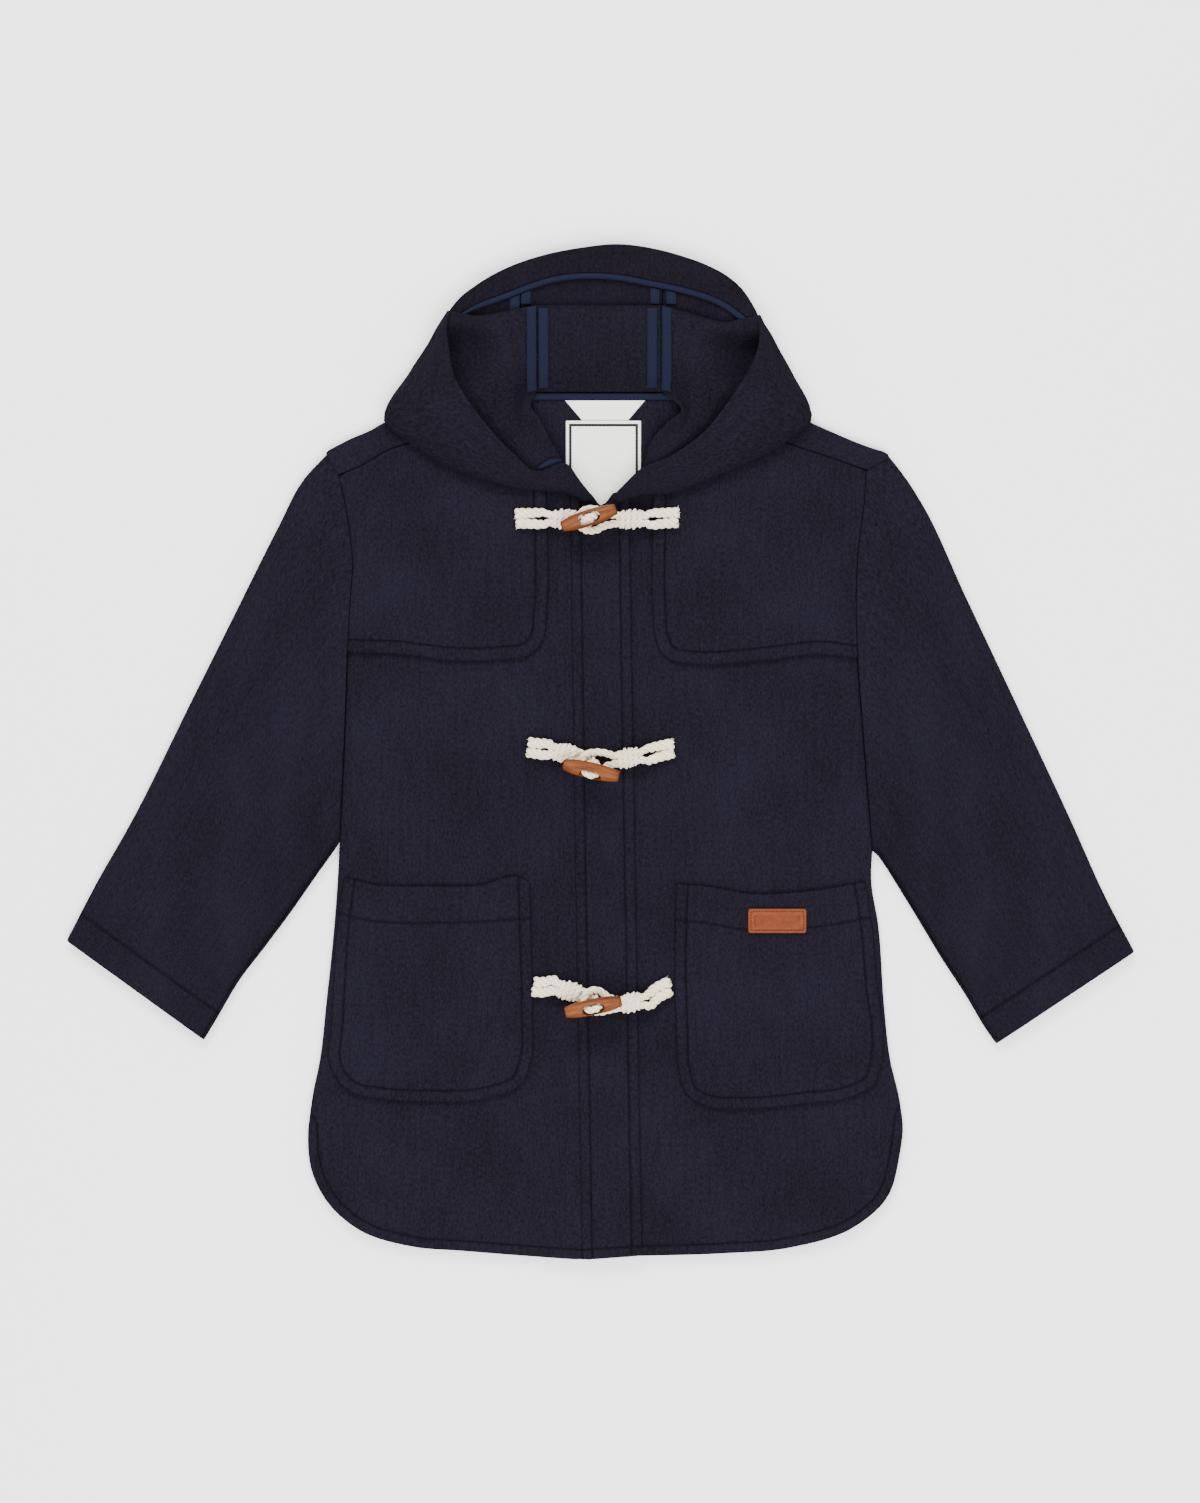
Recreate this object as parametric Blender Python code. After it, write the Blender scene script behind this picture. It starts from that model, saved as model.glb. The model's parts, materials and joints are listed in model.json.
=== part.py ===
"""A child's hooded duffle coat of felted wool, laid on its back on a flat surface.

Frame: X runs across the coat, +X towards the wearer's left arm. Y runs along it, +Y towards
the hood. Z is up from the surface. The origin is on the surface, under the middle of the coat.
Sizes below are in millimetres. MM turns them to metres where a mesh is made.
"Right" and "left" are the wearer's, so the right half of the coat is at -X.
"""
import math

import bmesh
import bpy
from mathutils import Matrix, Vector

MM = 0.001

# ---------------------------------------------------------------- driving dimensions
WOOL = 2.2              # thickness of the felted wool
TAPE = 1.0              # thickness of a binding tape or a label
LEATHER = 1.4           # thickness of the leather tag
SEAM = 0.3              # gap that two pieces keep where they are sewn together
LAY = 0.4               # gap between a piece and the one it lies on
AIR_EDGE = 0.5          # air between back and front along the edges of the coat
AIR_MIDDLE = 1.2        # further air between them in the middle of each front
LAP_RISE = WOOL + LAY   # the right front climbs this much onto the left one
LAP_START = -50.0       # x where that climb starts
LAP_RUN = 28.0          # and how far it takes
SIDE_RUN = 34.0         # the air between back and front is full this far from the side seams
HEM_RUN = 30.0          # this far above the hem
SHOULDER_RUN = 60.0     # and this far below the shoulders
POCKET_GAPE = 1.6       # how far a pocket's mouth stands off the front
GAPE_RUN = 40.0         # and how far below the mouth it closes
FOLD_HALF_LOW = 1.55    # least half height of a sleeve's folded edges
FOLD_RUN = 0.18         # share of a sleeve's width in which it rises to its full height
SHOULDER_LEAN = (0.35, 0.94)    # the way out from the left shoulder, across and along the coat
TAG_CORNER = 1.6        # how far the leather tag's corners are cut
BRIM_UNDER = 5.9        # underside of the hood front where it lies back
BRIM_CLIMB = 2.4        # further height at the corners of the opening
BRIM_MIDDLE_X = 2.0     # x of the hood front's middle
BRIM_CLIMB_START = 60.0     # that far from the middle the climb starts
BRIM_CLIMB_RUN = 38.0   # and how far it takes
# How a hood side's section bends, as shares of its width, or of its turn at the outer fold
HOOD_TURN_MOST = 0.35   # the turn is at most this share of the width
HOOD_TOP_DROP = 0.36    # share of the drop to the fold that the top's middle has made
HOOD_TOP_ROUND = 0.04   # and its roundness, as a share of the width
HOOD_HIGH = (0.8, 0.9)  # the point above the fold: how far in and how far up, in turns
HOOD_LOW = 0.9          # the point below the fold: how far in, in turns
HOOD_FLOOR = 0.52       # where the section lies lowest, on the way from the fold to the roll
HOOD_BESIDE = (0.62, 0.86)      # the point past the roll: how far in and how far down
TOGGLE_LENGTH = 38.0
TOGGLE_RADIUS = 5.4
TOGGLE_END_RADIUS = 3.5
CORD = 4.6              # diameter of the toggle cord
TAIL_SPREAD = 3.6       # from a tail's middle line to each of its two strands
KNOT_SPREAD = 2.5       # the same inside a knot
KNOT_WRAPS = 4          # turns of cord round a knot
KNOT_HALF_WIDTH = 7.1   # half the knot's width and height over its wraps
KNOT_HALF_HEIGHT = 4.2
KNOT_GROOVE = 0.9       # part of that left in the groove between two wraps
KNOT_HOLE_WIDTH = 5.9   # half the width and height of the hole for the two strands
KNOT_HOLE_HEIGHT = 2.9
KNOT_SLANT = 1.2        # how far a wrap leans along the cord
SLOT_REACH = 4.0        # from the slot's middle to the middle of its rounded end
SLOT_HALF = 3.4         # half the slot's width

# Lines that cut the fronts, and all that lies on them, into one shared lattice
LATTICE_X = tuple(range(-198, -157, 8)) + tuple(range(-150, 151, 25)) + tuple(range(158, 199, 8))
LATTICE_Y = tuple(range(-325, 226, 25))

# ---------------------------------------------------------------- outlines, as (x, y) points
SIDE_RIGHT = (
    (-171.9, -58.0), (-173.2, -83.0), (-176.6, -126.4), (-180.5, -162.7), (-185.1, -203.6),
    (-190.0, -228.0), (-192.4, -252.0), (-189.5, -277.5), (-180.5, -295.4), (-159.4, -314.5),
    (-124.4, -325.7), (-90.8, -328.6), (-43.2, -332.3), (-11.6, -334.3))
SIDE_LEFT = (
    (179.2, -65.0), (178.5, -84.2), (183.2, -114.5), (187.1, -168.6), (191.1, -203.6),
    (197.4, -231.0), (199.0, -246.0), (196.8, -265.0), (188.4, -294.0), (168.6, -311.9),
    (125.1, -326.4), (79.5, -330.3), (26.7, -331.9))
ARMHOLE_RIGHT = (
    (-172.6, 181.8), (-168.6, 164.7), (-165.3, 144.2), (-163.3, 123.8), (-164.7, 104.0),
    (-166.8, 65.6), (-168.4, 20.0), (-171.9, -58.0))
ARMHOLE_LEFT = (
    (175.2, 185.1), (173.9, 164.7), (171.3, 144.2), (169.3, 123.8), (168.6, 104.0),
    (169.6, 61.7), (172.6, 20.0), (179.2, -65.0))
SHOULDER_SEAM_RIGHT = ((-74.0, 224.0), (-125.1, 203.6), (-138.9, 199.0), (-157.4, 188.4), (-172.6, 181.8))
SHOULDER_SEAM_LEFT = ((78.0, 224.0), (121.8, 204.3), (131.0, 200.3), (147.5, 195.0), (175.2, 185.1))
SHOULDER_FOLD_RIGHT = ((-80.0, 232.0), (-141.6, 217.5), (-150.8, 212.2), (-167.3, 204.9), (-179.5, 197.5))
SHOULDER_FOLD_LEFT = ((84.0, 232.0), (137.0, 217.5), (147.5, 212.9), (166.0, 204.9), (188.5, 196.5))
NECKLINE_RIGHT = ((-74.0, 224.0), (-64.0, 203.0), (-46.0, 182.0), (-19.7, 166.5))
NECKLINE_LEFT = ((78.0, 224.0), (68.0, 203.0), (50.0, 183.0), (24.0, 166.0))
PLACKET_SEAM = ((-19.5, 167.0), (-16.8, -32.0), (-11.6, -334.3))
PLACKET_EDGE = ((18.2, 167.0), (21.4, -32.0), (26.7, -331.5))
PLACKET_TOP = ((10.0, 162.5), (1.0, 160.8), (-8.0, 163.0))
YOKE_RIGHT_FREE = (
    (-36.0, 171.0), (-36.0, 90.1), (-37.6, 76.0), (-41.0, 69.0), (-45.9, 64.6), (-63.7, 61.1),
    (-97.4, 60.4), (-131.0, 64.4), (-166.8, 65.6))
YOKE_LEFT_FREE = (
    (35.3, 171.0), (35.3, 90.1), (37.0, 73.0), (40.6, 65.0), (46.5, 60.4), (57.1, 58.4),
    (106.6, 60.4), (147.5, 64.4), (169.6, 61.7))
POCKET_RIGHT = (
    (-168.2, -82.8), (-148.8, -87.5), (-115.8, -88.6), (-80.2, -88.0), (-52.5, -82.8), (-47.2, -86.1),
    (-46.5, -111.9), (-45.2, -171.3), (-46.5, -204.3), (-53.1, -219.5), (-71.0, -226.7),
    (-115.8, -230.0), (-145.5, -228.0), (-162.7, -224.6), (-173.2, -215.8), (-178.2, -203.0),
    (-176.6, -183.2), (-172.4, -114.0))
POCKET_LEFT = (
    (50.6, -86.8), (74.9, -89.4), (98.0, -93.4), (133.7, -92.1), (157.4, -88.8), (173.6, -85.5),
    (178.0, -114.5), (180.8, -147.5), (184.6, -203.0), (180.5, -218.1), (168.6, -225.4),
    (133.7, -231.3), (92.1, -234.6), (69.6, -232.7), (57.1, -225.4), (52.5, -212.2),
    (50.5, -183.2), (49.4, -135.6))
TAG_CENTRE = (116.3, -111.4)
TAG_SIZE = (38.4, 16.2)

# A sleeve's sections from armhole to cuff: its outer and inner folded edges
#   outer x, outer y, inner x, inner y, top height of the section's middle line
SLEEVE_RIGHT = (
    (-179.8, 196.0, -173.4, -59.6, 6.7),
    (-194.4, 180.5, -178.0, -67.5, 6.4),
    (-211.5, 148.8, -190.0, -85.0, 5.9),
    (-240.0, 92.0, -206.0, -108.0, 5.4),
    (-270.0, 32.0, -222.0, -129.5, 5.6),
    (-308.6, -45.2, -240.5, -154.5, 5.3),
    (-333.0, -88.0, -253.0, -176.0, 5.5),
    (-352.0, -124.6, -261.5, -190.0, 5.2),
)
SLEEVE_LEFT = (
    (188.8, 195.8, 180.8, -66.6, 6.7),
    (199.7, 181.8, 184.0, -69.0, 6.4),
    (212.0, 162.5, 191.0, -80.0, 5.9),
    (239.0, 105.0, 207.0, -106.0, 5.5),
    (270.0, 39.5, 225.0, -136.0, 5.3),
    (309.9, -45.2, 242.0, -162.5, 5.6),
    (334.0, -98.0, 253.5, -182.0, 5.3),
    (352.0, -132.0, 261.0, -192.5, 5.2),
)

# A hood side's sections from the neck point at the front up to the crown's fold. Each runs from
# the front edge, over the outer fold and back inside along the floor and over an inner roll:
#   front edge x, y, z; outer fold x, y, z; floor z; roll x, y, z; inner edge x, y, z
HOOD_SIDE_RIGHT = (
    (-3.6, 165.8, 12.8, -9.8, 164.4, 11.4, 10.2, -7.4, 166.2, 10.2, -5.6, 167.2, 10.2),
    (-13.0, 177.4, 13.6, -24.0, 171.0, 11.8, 10.2, -17.0, 176.9, 10.4, -14.0, 178.4, 10.2),
    (-22.8, 189.6, 15.0, -38.0, 172.1, 12.6, 11.3, -28.5, 184.5, 11.3, -23.0, 188.4, 10.6),
    (-41.9, 183.8, 17.6, -58.0, 174.6, 13.0, 11.5, -42.0, 190.0, 11.9, -31.5, 202.5, 10.6),
    (-56.4, 195.0, 20.6, -79.0, 180.4, 12.8, 10.6, -52.0, 203.0, 14.6, -39.9, 218.8, 9.8),
    (-69.0, 207.6, 23.6, -102.0, 189.6, 12.4, 10.0, -60.0, 217.0, 16.4, -46.0, 228.0, 8.4),
    (-81.0, 222.1, 26.6, -125.1, 203.6, 12.4, 10.0, -62.0, 233.0, 16.6, -41.7, 238.0, 4.6),
    (-88.0, 232.0, 28.0, -140.9, 217.5, 11.8, 9.7, -61.0, 243.0, 16.4, -41.7, 245.0, 7.2),
    (-96.7, 249.2, 28.6, -124.8, 249.5, 7.2, 2.5, -62.5, 256.0, 16.4, -41.7, 258.0, 10.3),
    (-100.0, 268.3, 25.4, -112.5, 268.3, 9.2, 3.0, -68.5, 272.0, 15.6, -41.7, 276.0, 12.9),
    (-100.8, 278.5, 20.4, -106.2, 279.0, 15.6, 12.2, -75.0, 283.5, 14.8, -41.7, 291.0, 13.8),
)
HOOD_SIDE_LEFT = (
    (5.8, 165.8, 12.8, 12.0, 164.4, 11.4, 10.2, 9.6, 166.2, 10.2, 7.8, 167.2, 10.2),
    (16.0, 176.0, 13.6, 26.0, 169.2, 11.8, 10.2, 20.0, 175.0, 10.4, 17.0, 176.8, 10.2),
    (26.7, 186.0, 15.0, 44.0, 170.4, 12.4, 10.6, 33.0, 182.5, 10.9, 27.4, 185.0, 10.4),
    (42.6, 192.4, 17.6, 62.0, 175.8, 12.4, 10.2, 42.0, 196.0, 12.6, 32.7, 203.0, 10.2),
    (57.8, 201.6, 20.6, 84.0, 185.4, 12.4, 10.0, 54.0, 207.0, 14.8, 44.5, 217.0, 9.6),
    (71.6, 213.5, 23.6, 106.6, 195.7, 12.4, 10.0, 62.0, 220.0, 16.4, 53.0, 226.0, 8.4),
    (83.5, 228.7, 26.6, 121.8, 204.9, 12.4, 10.0, 64.0, 234.0, 16.6, 40.0, 238.0, 4.6),
    (88.5, 236.0, 28.0, 136.9, 218.0, 11.8, 9.7, 63.0, 243.0, 16.4, 40.0, 245.0, 7.2),
    (96.4, 248.5, 28.6, 126.0, 248.0, 7.2, 2.5, 62.5, 256.0, 16.4, 40.0, 258.0, 10.3),
    (102.8, 263.0, 25.4, 117.4, 263.5, 9.2, 3.0, 66.0, 270.0, 15.6, 40.0, 276.0, 12.9),
    (104.2, 274.0, 20.4, 110.4, 275.5, 15.6, 12.2, 76.0, 279.0, 14.8, 40.0, 291.0, 13.8),
)
# The hood's centre strip from the neck seam up to its fold: y and z of its middle line
HOOD_CENTRE_PATH = (
    (237.2, 3.6), (240.5, 5.0), (246.0, 7.6), (258.0, 10.4), (276.0, 13.0), (287.0, 13.9),
    (291.2, 13.3), (292.6, 11.2), (292.4, 10.4))
HOOD_CENTRE_X = (-41.3, 39.6)

# The hood's front edge, laid back at the top, and the fold that the inner stretch ends in
HOOD_TOP_ARC = (
    (-101.8, 286.0), (-98.6, 291.6), (-93.4, 298.0), (-80.9, 307.9), (-66.3, 316.5), (-50.5, 323.1),
    (-32.0, 328.4), (-10.2, 332.3), (9.6, 334.3), (36.6, 331.0), (53.8, 326.4), (71.6, 319.8),
    (83.5, 313.2), (92.7, 305.2), (100.0, 294.7), (105.4, 284.0))
HOOD_FOLD_ARC = (
    (-99.5, 282.4), (-90.0, 281.9), (-74.9, 284.5), (-62.4, 286.0), (-52.8, 286.6), (-36.0, 286.6),
    (12.9, 286.6), (40.6, 286.0), (50.5, 285.6), (65.7, 282.5), (83.5, 279.0), (99.0, 277.6), (103.6, 279.0))
HOOD_SEAM_RIGHT_X = -52.8
HOOD_SEAM_LEFT_X = 40.9
FACING_INNER_ARC = (
    (-97.6, 284.6), (-80.9, 294.4), (-61.7, 301.9), (-45.2, 308.3), (-32.0, 312.3), (-7.6, 314.9),
    (12.9, 313.6), (30.7, 310.3), (50.5, 306.3), (65.7, 302.3), (81.5, 295.8), (92.7, 287.8),
    (101.3, 281.0))
FACING_TAPE_WIDTH = 3.7
LATTICE_HOOD_X = (-110.0, -96.0, -84.0, -74.0, -62.0, 66.0, 78.0, 88.0, 100.0, 114.0)

# The toggle fastenings, one row each: name, toggle centre x, y, its turn and its roll about its
# own axis in degrees, how far the loop's eye lies beside its centre, then for the cord on the
# right and the one on the left the tail's end x, y and the knot's outer end x, y and inner end x, y
TOGGLES = (
    ("top", -7.6, 153.0, 18.0, 0.0, -0.8,
     (-55.3, 153.4, -32.3, 153.1, -16.4, 152.7), (50.8, 153.9, 28.4, 152.7, 12.6, 152.7)),
    ("middle", -6.2, -12.4, -12.6, 38.0, 6.4,
     (-47.3, 2.8, -30.6, 0.4, -16.4, -2.7), (47.7, 2.2, 25.6, -3.1, 10.9, -5.3)),
    ("bottom", -4.9, -167.2, 11.5, 24.0, 3.0,
     (-43.6, -154.8, -27.8, -155.2, -13.8, -159.6), (45.4, -154.6, 27.0, -164.2, 13.4, -165.8)),
)
# Each cord's route between its two runs through the knot, from the toggle's middle: x, y, and z
# from the surface. The right cord goes up through the slot, the left one round it as a loop.
STEM_ROUTE = (
    (-2.0, 2.7, 11.2), (1.0, 2.6, 12.3), (2.5, 1.6, 15.0),
    (2.6, 0.0, 19.6), (2.6, 0.0, 25.6), (1.9, 0.0, 27.6), (0.0, 0.0, 28.6), (-1.9, 0.0, 27.6),
    (-2.6, 0.0, 25.6), (-1.6, 0.0, 20.4), (0.1, -1.0, 16.4), (0.0, -2.2, 13.0), (-2.2, -2.7, 11.2))
LOOP_ROUTE = (
    (10.5, 5.0, 11.3), (6.0, 7.6, 11.4), (2.0, 8.5, 12.4), (-1.8, 7.8, 14.6), (-5.1, 5.0, 17.0),
    (-6.2, 1.6, 17.5), (-6.2, -1.6, 17.5), (-5.3, -5.0, 16.8), (-1.8, -7.9, 14.4), (2.0, -8.2, 12.4),
    (6.0, -7.4, 11.4), (10.5, -5.0, 11.3))
TOGGLE_HEIGHT = 25.4     # of the toggle's middle above the surface
STEM_CLEAR = 18.0        # above this the stem is inside the toggle and turns with it


# ---------------------------------------------------------------- small tools
def blend(a, b, t):
    return a + (b - a) * t


def smooth_step(t):
    t = min(max(t, 0.0), 1.0)
    return t * t * (3.0 - 2.0 * t)


def along(table, key, column, value):
    """Read one column of a table, with straight lines between its rows."""
    rows = sorted(table, key=lambda row: row[key])
    for low, high in zip(rows, rows[1:]):
        if value <= high[key]:
            t = (value - low[key]) / (high[key] - low[key])
            return blend(low[column], high[column], max(t, 0.0))
    return rows[-1][column]


def smooth_curve(points, per_span):
    """A Catmull-Rom curve through points of any number of coordinates."""
    rows = [Vector(p) for p in points]
    rows = [rows[0] * 2 - rows[1]] + rows + [rows[-1] * 2 - rows[-2]]
    line = []
    for i in range(1, len(rows) - 2):
        a, b, c, d = rows[i - 1:i + 3]
        for step in range(per_span):
            t = step / per_span
            line.append(0.5 * (2 * b + (c - a) * t + (2 * a - 5 * b + 4 * c - d) * t * t
                               + (3 * b - a - 3 * c + d) * t ** 3))
    line.append(rows[-2])
    return line


def hex_colour(code):
    """An sRGB hex value as linear red, green, blue, alpha."""
    def linear(c):
        return c / 12.92 if c <= 0.04045 else ((c + 0.055) / 1.055) ** 2.4
    return tuple(linear(int(code[i:i + 2], 16) / 255) for i in (0, 2, 4)) + (1.0,)


def material(name, code, roughness):
    mat = bpy.data.materials.new(name)
    mat.use_nodes = True
    shader = mat.node_tree.nodes["Principled BSDF"]
    shader.inputs["Base Color"].default_value = hex_colour(code)
    shader.inputs["Roughness"].default_value = roughness
    shader.inputs["Metallic"].default_value = 0.0
    return mat


def add_object(name, bm, finish, smooth=False):
    """Turn a bmesh in millimetres into an object in metres, with its own material."""
    bmesh.ops.scale(bm, vec=(MM, MM, MM), verts=bm.verts)
    mesh = bpy.data.meshes.new(name)
    bm.to_mesh(mesh)
    bm.free()
    obj = bpy.data.objects.new(name, mesh)
    bpy.context.scene.collection.objects.link(obj)
    mesh.materials.append(material(name, *finish))
    if smooth:
        mesh.shade_smooth()
        mesh.set_sharp_from_angle(angle=math.radians(40))
    return obj


def thicken(obj, thickness, offset):
    """Give a sheet its wall: offset 1 adds it above the sheet, 0 around it."""
    wall = obj.modifiers.new("wall", "SOLIDIFY")
    wall.thickness = thickness * MM
    wall.offset = offset
    wall.use_even_offset = True
    return obj


def outline_sheet(outline):
    """One flat face with the outline's points, seen counterclockwise from above."""
    area = sum(a[0] * b[1] - b[0] * a[1] for a, b in zip(outline, outline[1:] + outline[:1]))
    bm = bmesh.new()
    verts = [bm.verts.new((x, y, 0.0)) for x, y in (outline if area > 0 else reversed(outline))]
    bm.faces.new(verts)
    return bm


def cut_on_lines(bm, axis, lines):
    """Cut a flat sheet along each line of constant x (axis 0) or y (axis 1)."""
    normal = Vector((1, 0, 0)) if axis == 0 else Vector((0, 1, 0))
    for line in lines:
        everything = bm.verts[:] + bm.edges[:] + bm.faces[:]
        bmesh.ops.bisect_plane(bm, geom=everything, plane_co=normal * line, plane_no=normal, dist=0.001)


def height_sheet(outline, height, lines_x, lines_y):
    """A sheet with an outline in plan, cut on the lattice lines and lifted to a height."""
    bm = outline_sheet(outline)
    cut_on_lines(bm, 0, lines_x)
    cut_on_lines(bm, 1, lines_y)
    for vert in bm.verts:
        vert.co.z = height(vert.co.x, vert.co.y)
    return bm


def grid_sheet(rows):
    """A sheet through rows of points, all rows with the same number of points."""
    bm = bmesh.new()
    lines = [[bm.verts.new(p) for p in row] for row in rows]
    for low, high in zip(lines, lines[1:]):
        for a, b, c, d in zip(low, low[1:], high[1:], high):
            bm.faces.new((a, b, c, d))
    bmesh.ops.recalc_face_normals(bm, faces=bm.faces)
    return bm


# ---------------------------------------------------------------- heights of the body's cloth
def lattice_cell(lines, value):
    """The two lattice lines around a value, and how far between them it lies."""
    for low, high in zip(lines, lines[1:]):
        if value <= high:
            return low, high, (value - low) / (high - low)
    return lines[-2], lines[-1], 1.0


def on_lattice(height, x, y):
    """A height read off flat cells between the lattice lines, so that layers stay parallel."""
    x0, x1, tx = lattice_cell(LATTICE_X, x)
    y0, y1, ty = lattice_cell((-340,) + LATTICE_Y + (245,), y)
    low = blend(height(x0, y0), height(x1, y0), tx)
    high = blend(height(x0, y1), height(x1, y1), tx)
    return blend(low, high, ty)


# Soft rolls of the fronts: start x, y, end x, y, height, half width
FRONT_ROLLS = (
    (-150.0, 40.0, -40.0, -60.0, 0.5, 26.0),
    (-120.0, 150.0, -50.0, 90.0, 0.4, 22.0),
    (150.0, 10.0, 60.0, -70.0, 0.5, 24.0),
    (-100.0, -260.0, -60.0, -320.0, 0.4, 18.0),
    (90.0, -255.0, 130.0, -320.0, 0.4, 20.0),
)


def roll_height(x, y):
    total = 0.0
    for x0, y0, x1, y1, high, wide in FRONT_ROLLS:
        run = Vector((x1 - x0, y1 - y0))
        t = min(max(Vector((x - x0, y - y0)).dot(run) / run.length_squared, 0.0), 1.0)
        away = (Vector((x, y)) - Vector((x0, y0)) - run * t).length
        total += high * math.exp(-(away / wide) ** 2)
    return total


def base_shape(x, y):
    """Underside of the fronts where neither laps the other."""
    if y > -60.0:
        low_x = along(ARMHOLE_RIGHT, 1, 0, y)
        high_x = along(ARMHOLE_LEFT, 1, 0, y)
    else:
        low_x = along(SIDE_RIGHT[:8], 1, 0, y)
        high_x = along(SIDE_LEFT[:9], 1, 0, y)
    inside = smooth_step(min(x - low_x, high_x - x) / SIDE_RUN)
    inside *= smooth_step((y + 333.0) / HEM_RUN) * smooth_step((212.0 - y) / SHOULDER_RUN)
    return WOOL + AIR_EDGE + inside * (AIR_MIDDLE + roll_height(x, y))


def under_left(x, y):
    return on_lattice(base_shape, x, y)


def lapped_shape(x, y):
    return base_shape(x, y) + LAP_RISE * smooth_step((x - LAP_START) / LAP_RUN)


def under_right(x, y):
    return on_lattice(lapped_shape, x, y)


def under_placket(x, y):
    return on_lattice(base_shape, x, y) + LAP_RISE


def under_yoke_right(x, y):
    return under_right(x, y) + WOOL + LAY


def under_yoke_left(x, y):
    return under_left(x, y) + WOOL + LAY


def mouth_gape(x, y, middle, half, top):
    """A pocket's mouth stands a little off the front, most in its middle."""
    across = smooth_step(1.0 - abs(x - middle) / half)
    return POCKET_GAPE * across * smooth_step((y - top) / GAPE_RUN + 1.0)


def under_pocket_right(x, y):
    return under_right(x, y) + WOOL + LAY + mouth_gape(x, y, -107.0, 62.0, -85.0)


def under_pocket_left(x, y):
    return under_left(x, y) + WOOL + LAY + mouth_gape(x, y, 113.0, 64.0, -89.0)


def cloth_top(x, y):
    """Top of the cloth beside and under the fastenings."""
    if x < -17.0:
        top = under_right(x, y) + WOOL
    elif x < 26.0:
        top = under_placket(x, y) + WOOL
    else:
        top = under_left(x, y) + WOOL
    if y > 60.0 and x < -36.0:
        top = under_yoke_right(x, y) + WOOL
    if y > 60.0 and x > 35.3:
        top = under_yoke_left(x, y) + WOOL
    return top


# ---------------------------------------------------------------- finishes: colour, roughness
WOOL_FINISH = ("26262f", 0.9)
WOOL_HOOD_FINISH = ("2a2937", 0.9)
TAPE_FINISH = ("2c4274", 0.7)
LABEL_FINISH = ("dedfdc", 0.6)
WOOD_FINISH = ("a5572e", 0.45)
CORD_FINISH = ("e6ddcd", 0.85)
LEATHER_FINISH = ("bb7444", 0.5)


# ---------------------------------------------------------------- body
def moved(points, dx, dy=0.0):
    return [(x + dx, y + dy) for x, y in points]


def make_back():
    """The back lies flat; at each shoulder it folds over to the seam at the front."""
    fold_radius = (under_yoke_right(-150.0, 190.0) + WOOL) / 2.0 - WOOL / 2.0
    strip_z = WOOL / 2.0 + 2.0 * fold_radius
    inset = fold_radius + WOOL / 2.0
    fold_right = moved(SHOULDER_FOLD_RIGHT, SHOULDER_LEAN[0] * inset, -SHOULDER_LEAN[1] * inset)
    fold_left = moved(SHOULDER_FOLD_LEFT, -SHOULDER_LEAN[0] * inset, -SHOULDER_LEAN[1] * inset)
    neck = [(-47.2, 236.6), (50.5, 236.6)]
    outline = list(ARMHOLE_RIGHT) + list(SIDE_RIGHT[1:])
    outline += list(reversed(SIDE_LEFT)) + list(reversed(ARMHOLE_LEFT))[1:]
    outline += list(reversed(fold_left)) + list(reversed(neck)) + fold_right
    bm = outline_sheet(outline)
    for vert in bm.verts:
        vert.co.z = WOOL / 2.0
    steps = 4
    for fold, seam, side in ((fold_right, SHOULDER_SEAM_RIGHT, -1), (fold_left, SHOULDER_SEAM_LEFT, 1)):
        line = [min(bm.verts, key=lambda v: (v.co.xy - Vector(p)).length) for p in fold]
        out = Vector((side * SHOULDER_LEAN[0], SHOULDER_LEAN[1], 0.0))
        rows = []
        for step in range(1, steps + 1):
            turn = math.pi * step / steps
            lift = Vector((0, 0, fold_radius * (1 - math.cos(turn))))
            rows.append([v.co + out * fold_radius * math.sin(turn) + lift for v in line])
        rows.append([Vector((x, y + SEAM + 0.2, strip_z)) for x, y in seam])
        for row in rows:
            fresh = [bm.verts.new(p) for p in row]
            for a, b, c, d in zip(line, line[1:], fresh[1:], fresh):
                bm.faces.new((a, b, c, d))
            line = fresh
    bmesh.ops.recalc_face_normals(bm, faces=bm.faces)
    thicken(add_object("back", bm, WOOL_FINISH), WOOL, 0.0)


def make_fronts():
    seam_x = [(x - SEAM / 2, y) for x, y in PLACKET_SEAM]
    right = list(SIDE_RIGHT[:-1]) + list(reversed(seam_x)) + list(reversed(NECKLINE_RIGHT[:-1]))
    right += list(SHOULDER_SEAM_RIGHT[1:]) + list(ARMHOLE_RIGHT[1:-1])
    bm = height_sheet(right, under_right, LATTICE_X, LATTICE_Y)
    thicken(add_object("front_right", bm, WOOL_FINISH), WOOL, 1.0)

    left = list(SIDE_LEFT) + [(-3.0, -331.8), (-8.0, 158.0)] + list(reversed(NECKLINE_LEFT))
    left += list(SHOULDER_SEAM_LEFT[1:]) + list(ARMHOLE_LEFT[1:-1])
    bm = height_sheet(left, under_left, LATTICE_X, LATTICE_Y)
    thicken(add_object("front_left", bm, WOOL_FINISH), WOOL, 1.0)

    band = [(x + SEAM / 2, y) for x, y in PLACKET_SEAM] + list(reversed(PLACKET_EDGE)) + list(PLACKET_TOP)
    bm = height_sheet(band, under_placket, LATTICE_X, LATTICE_Y)
    thicken(add_object("placket", bm, WOOL_FINISH), WOOL, 1.0)


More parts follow.
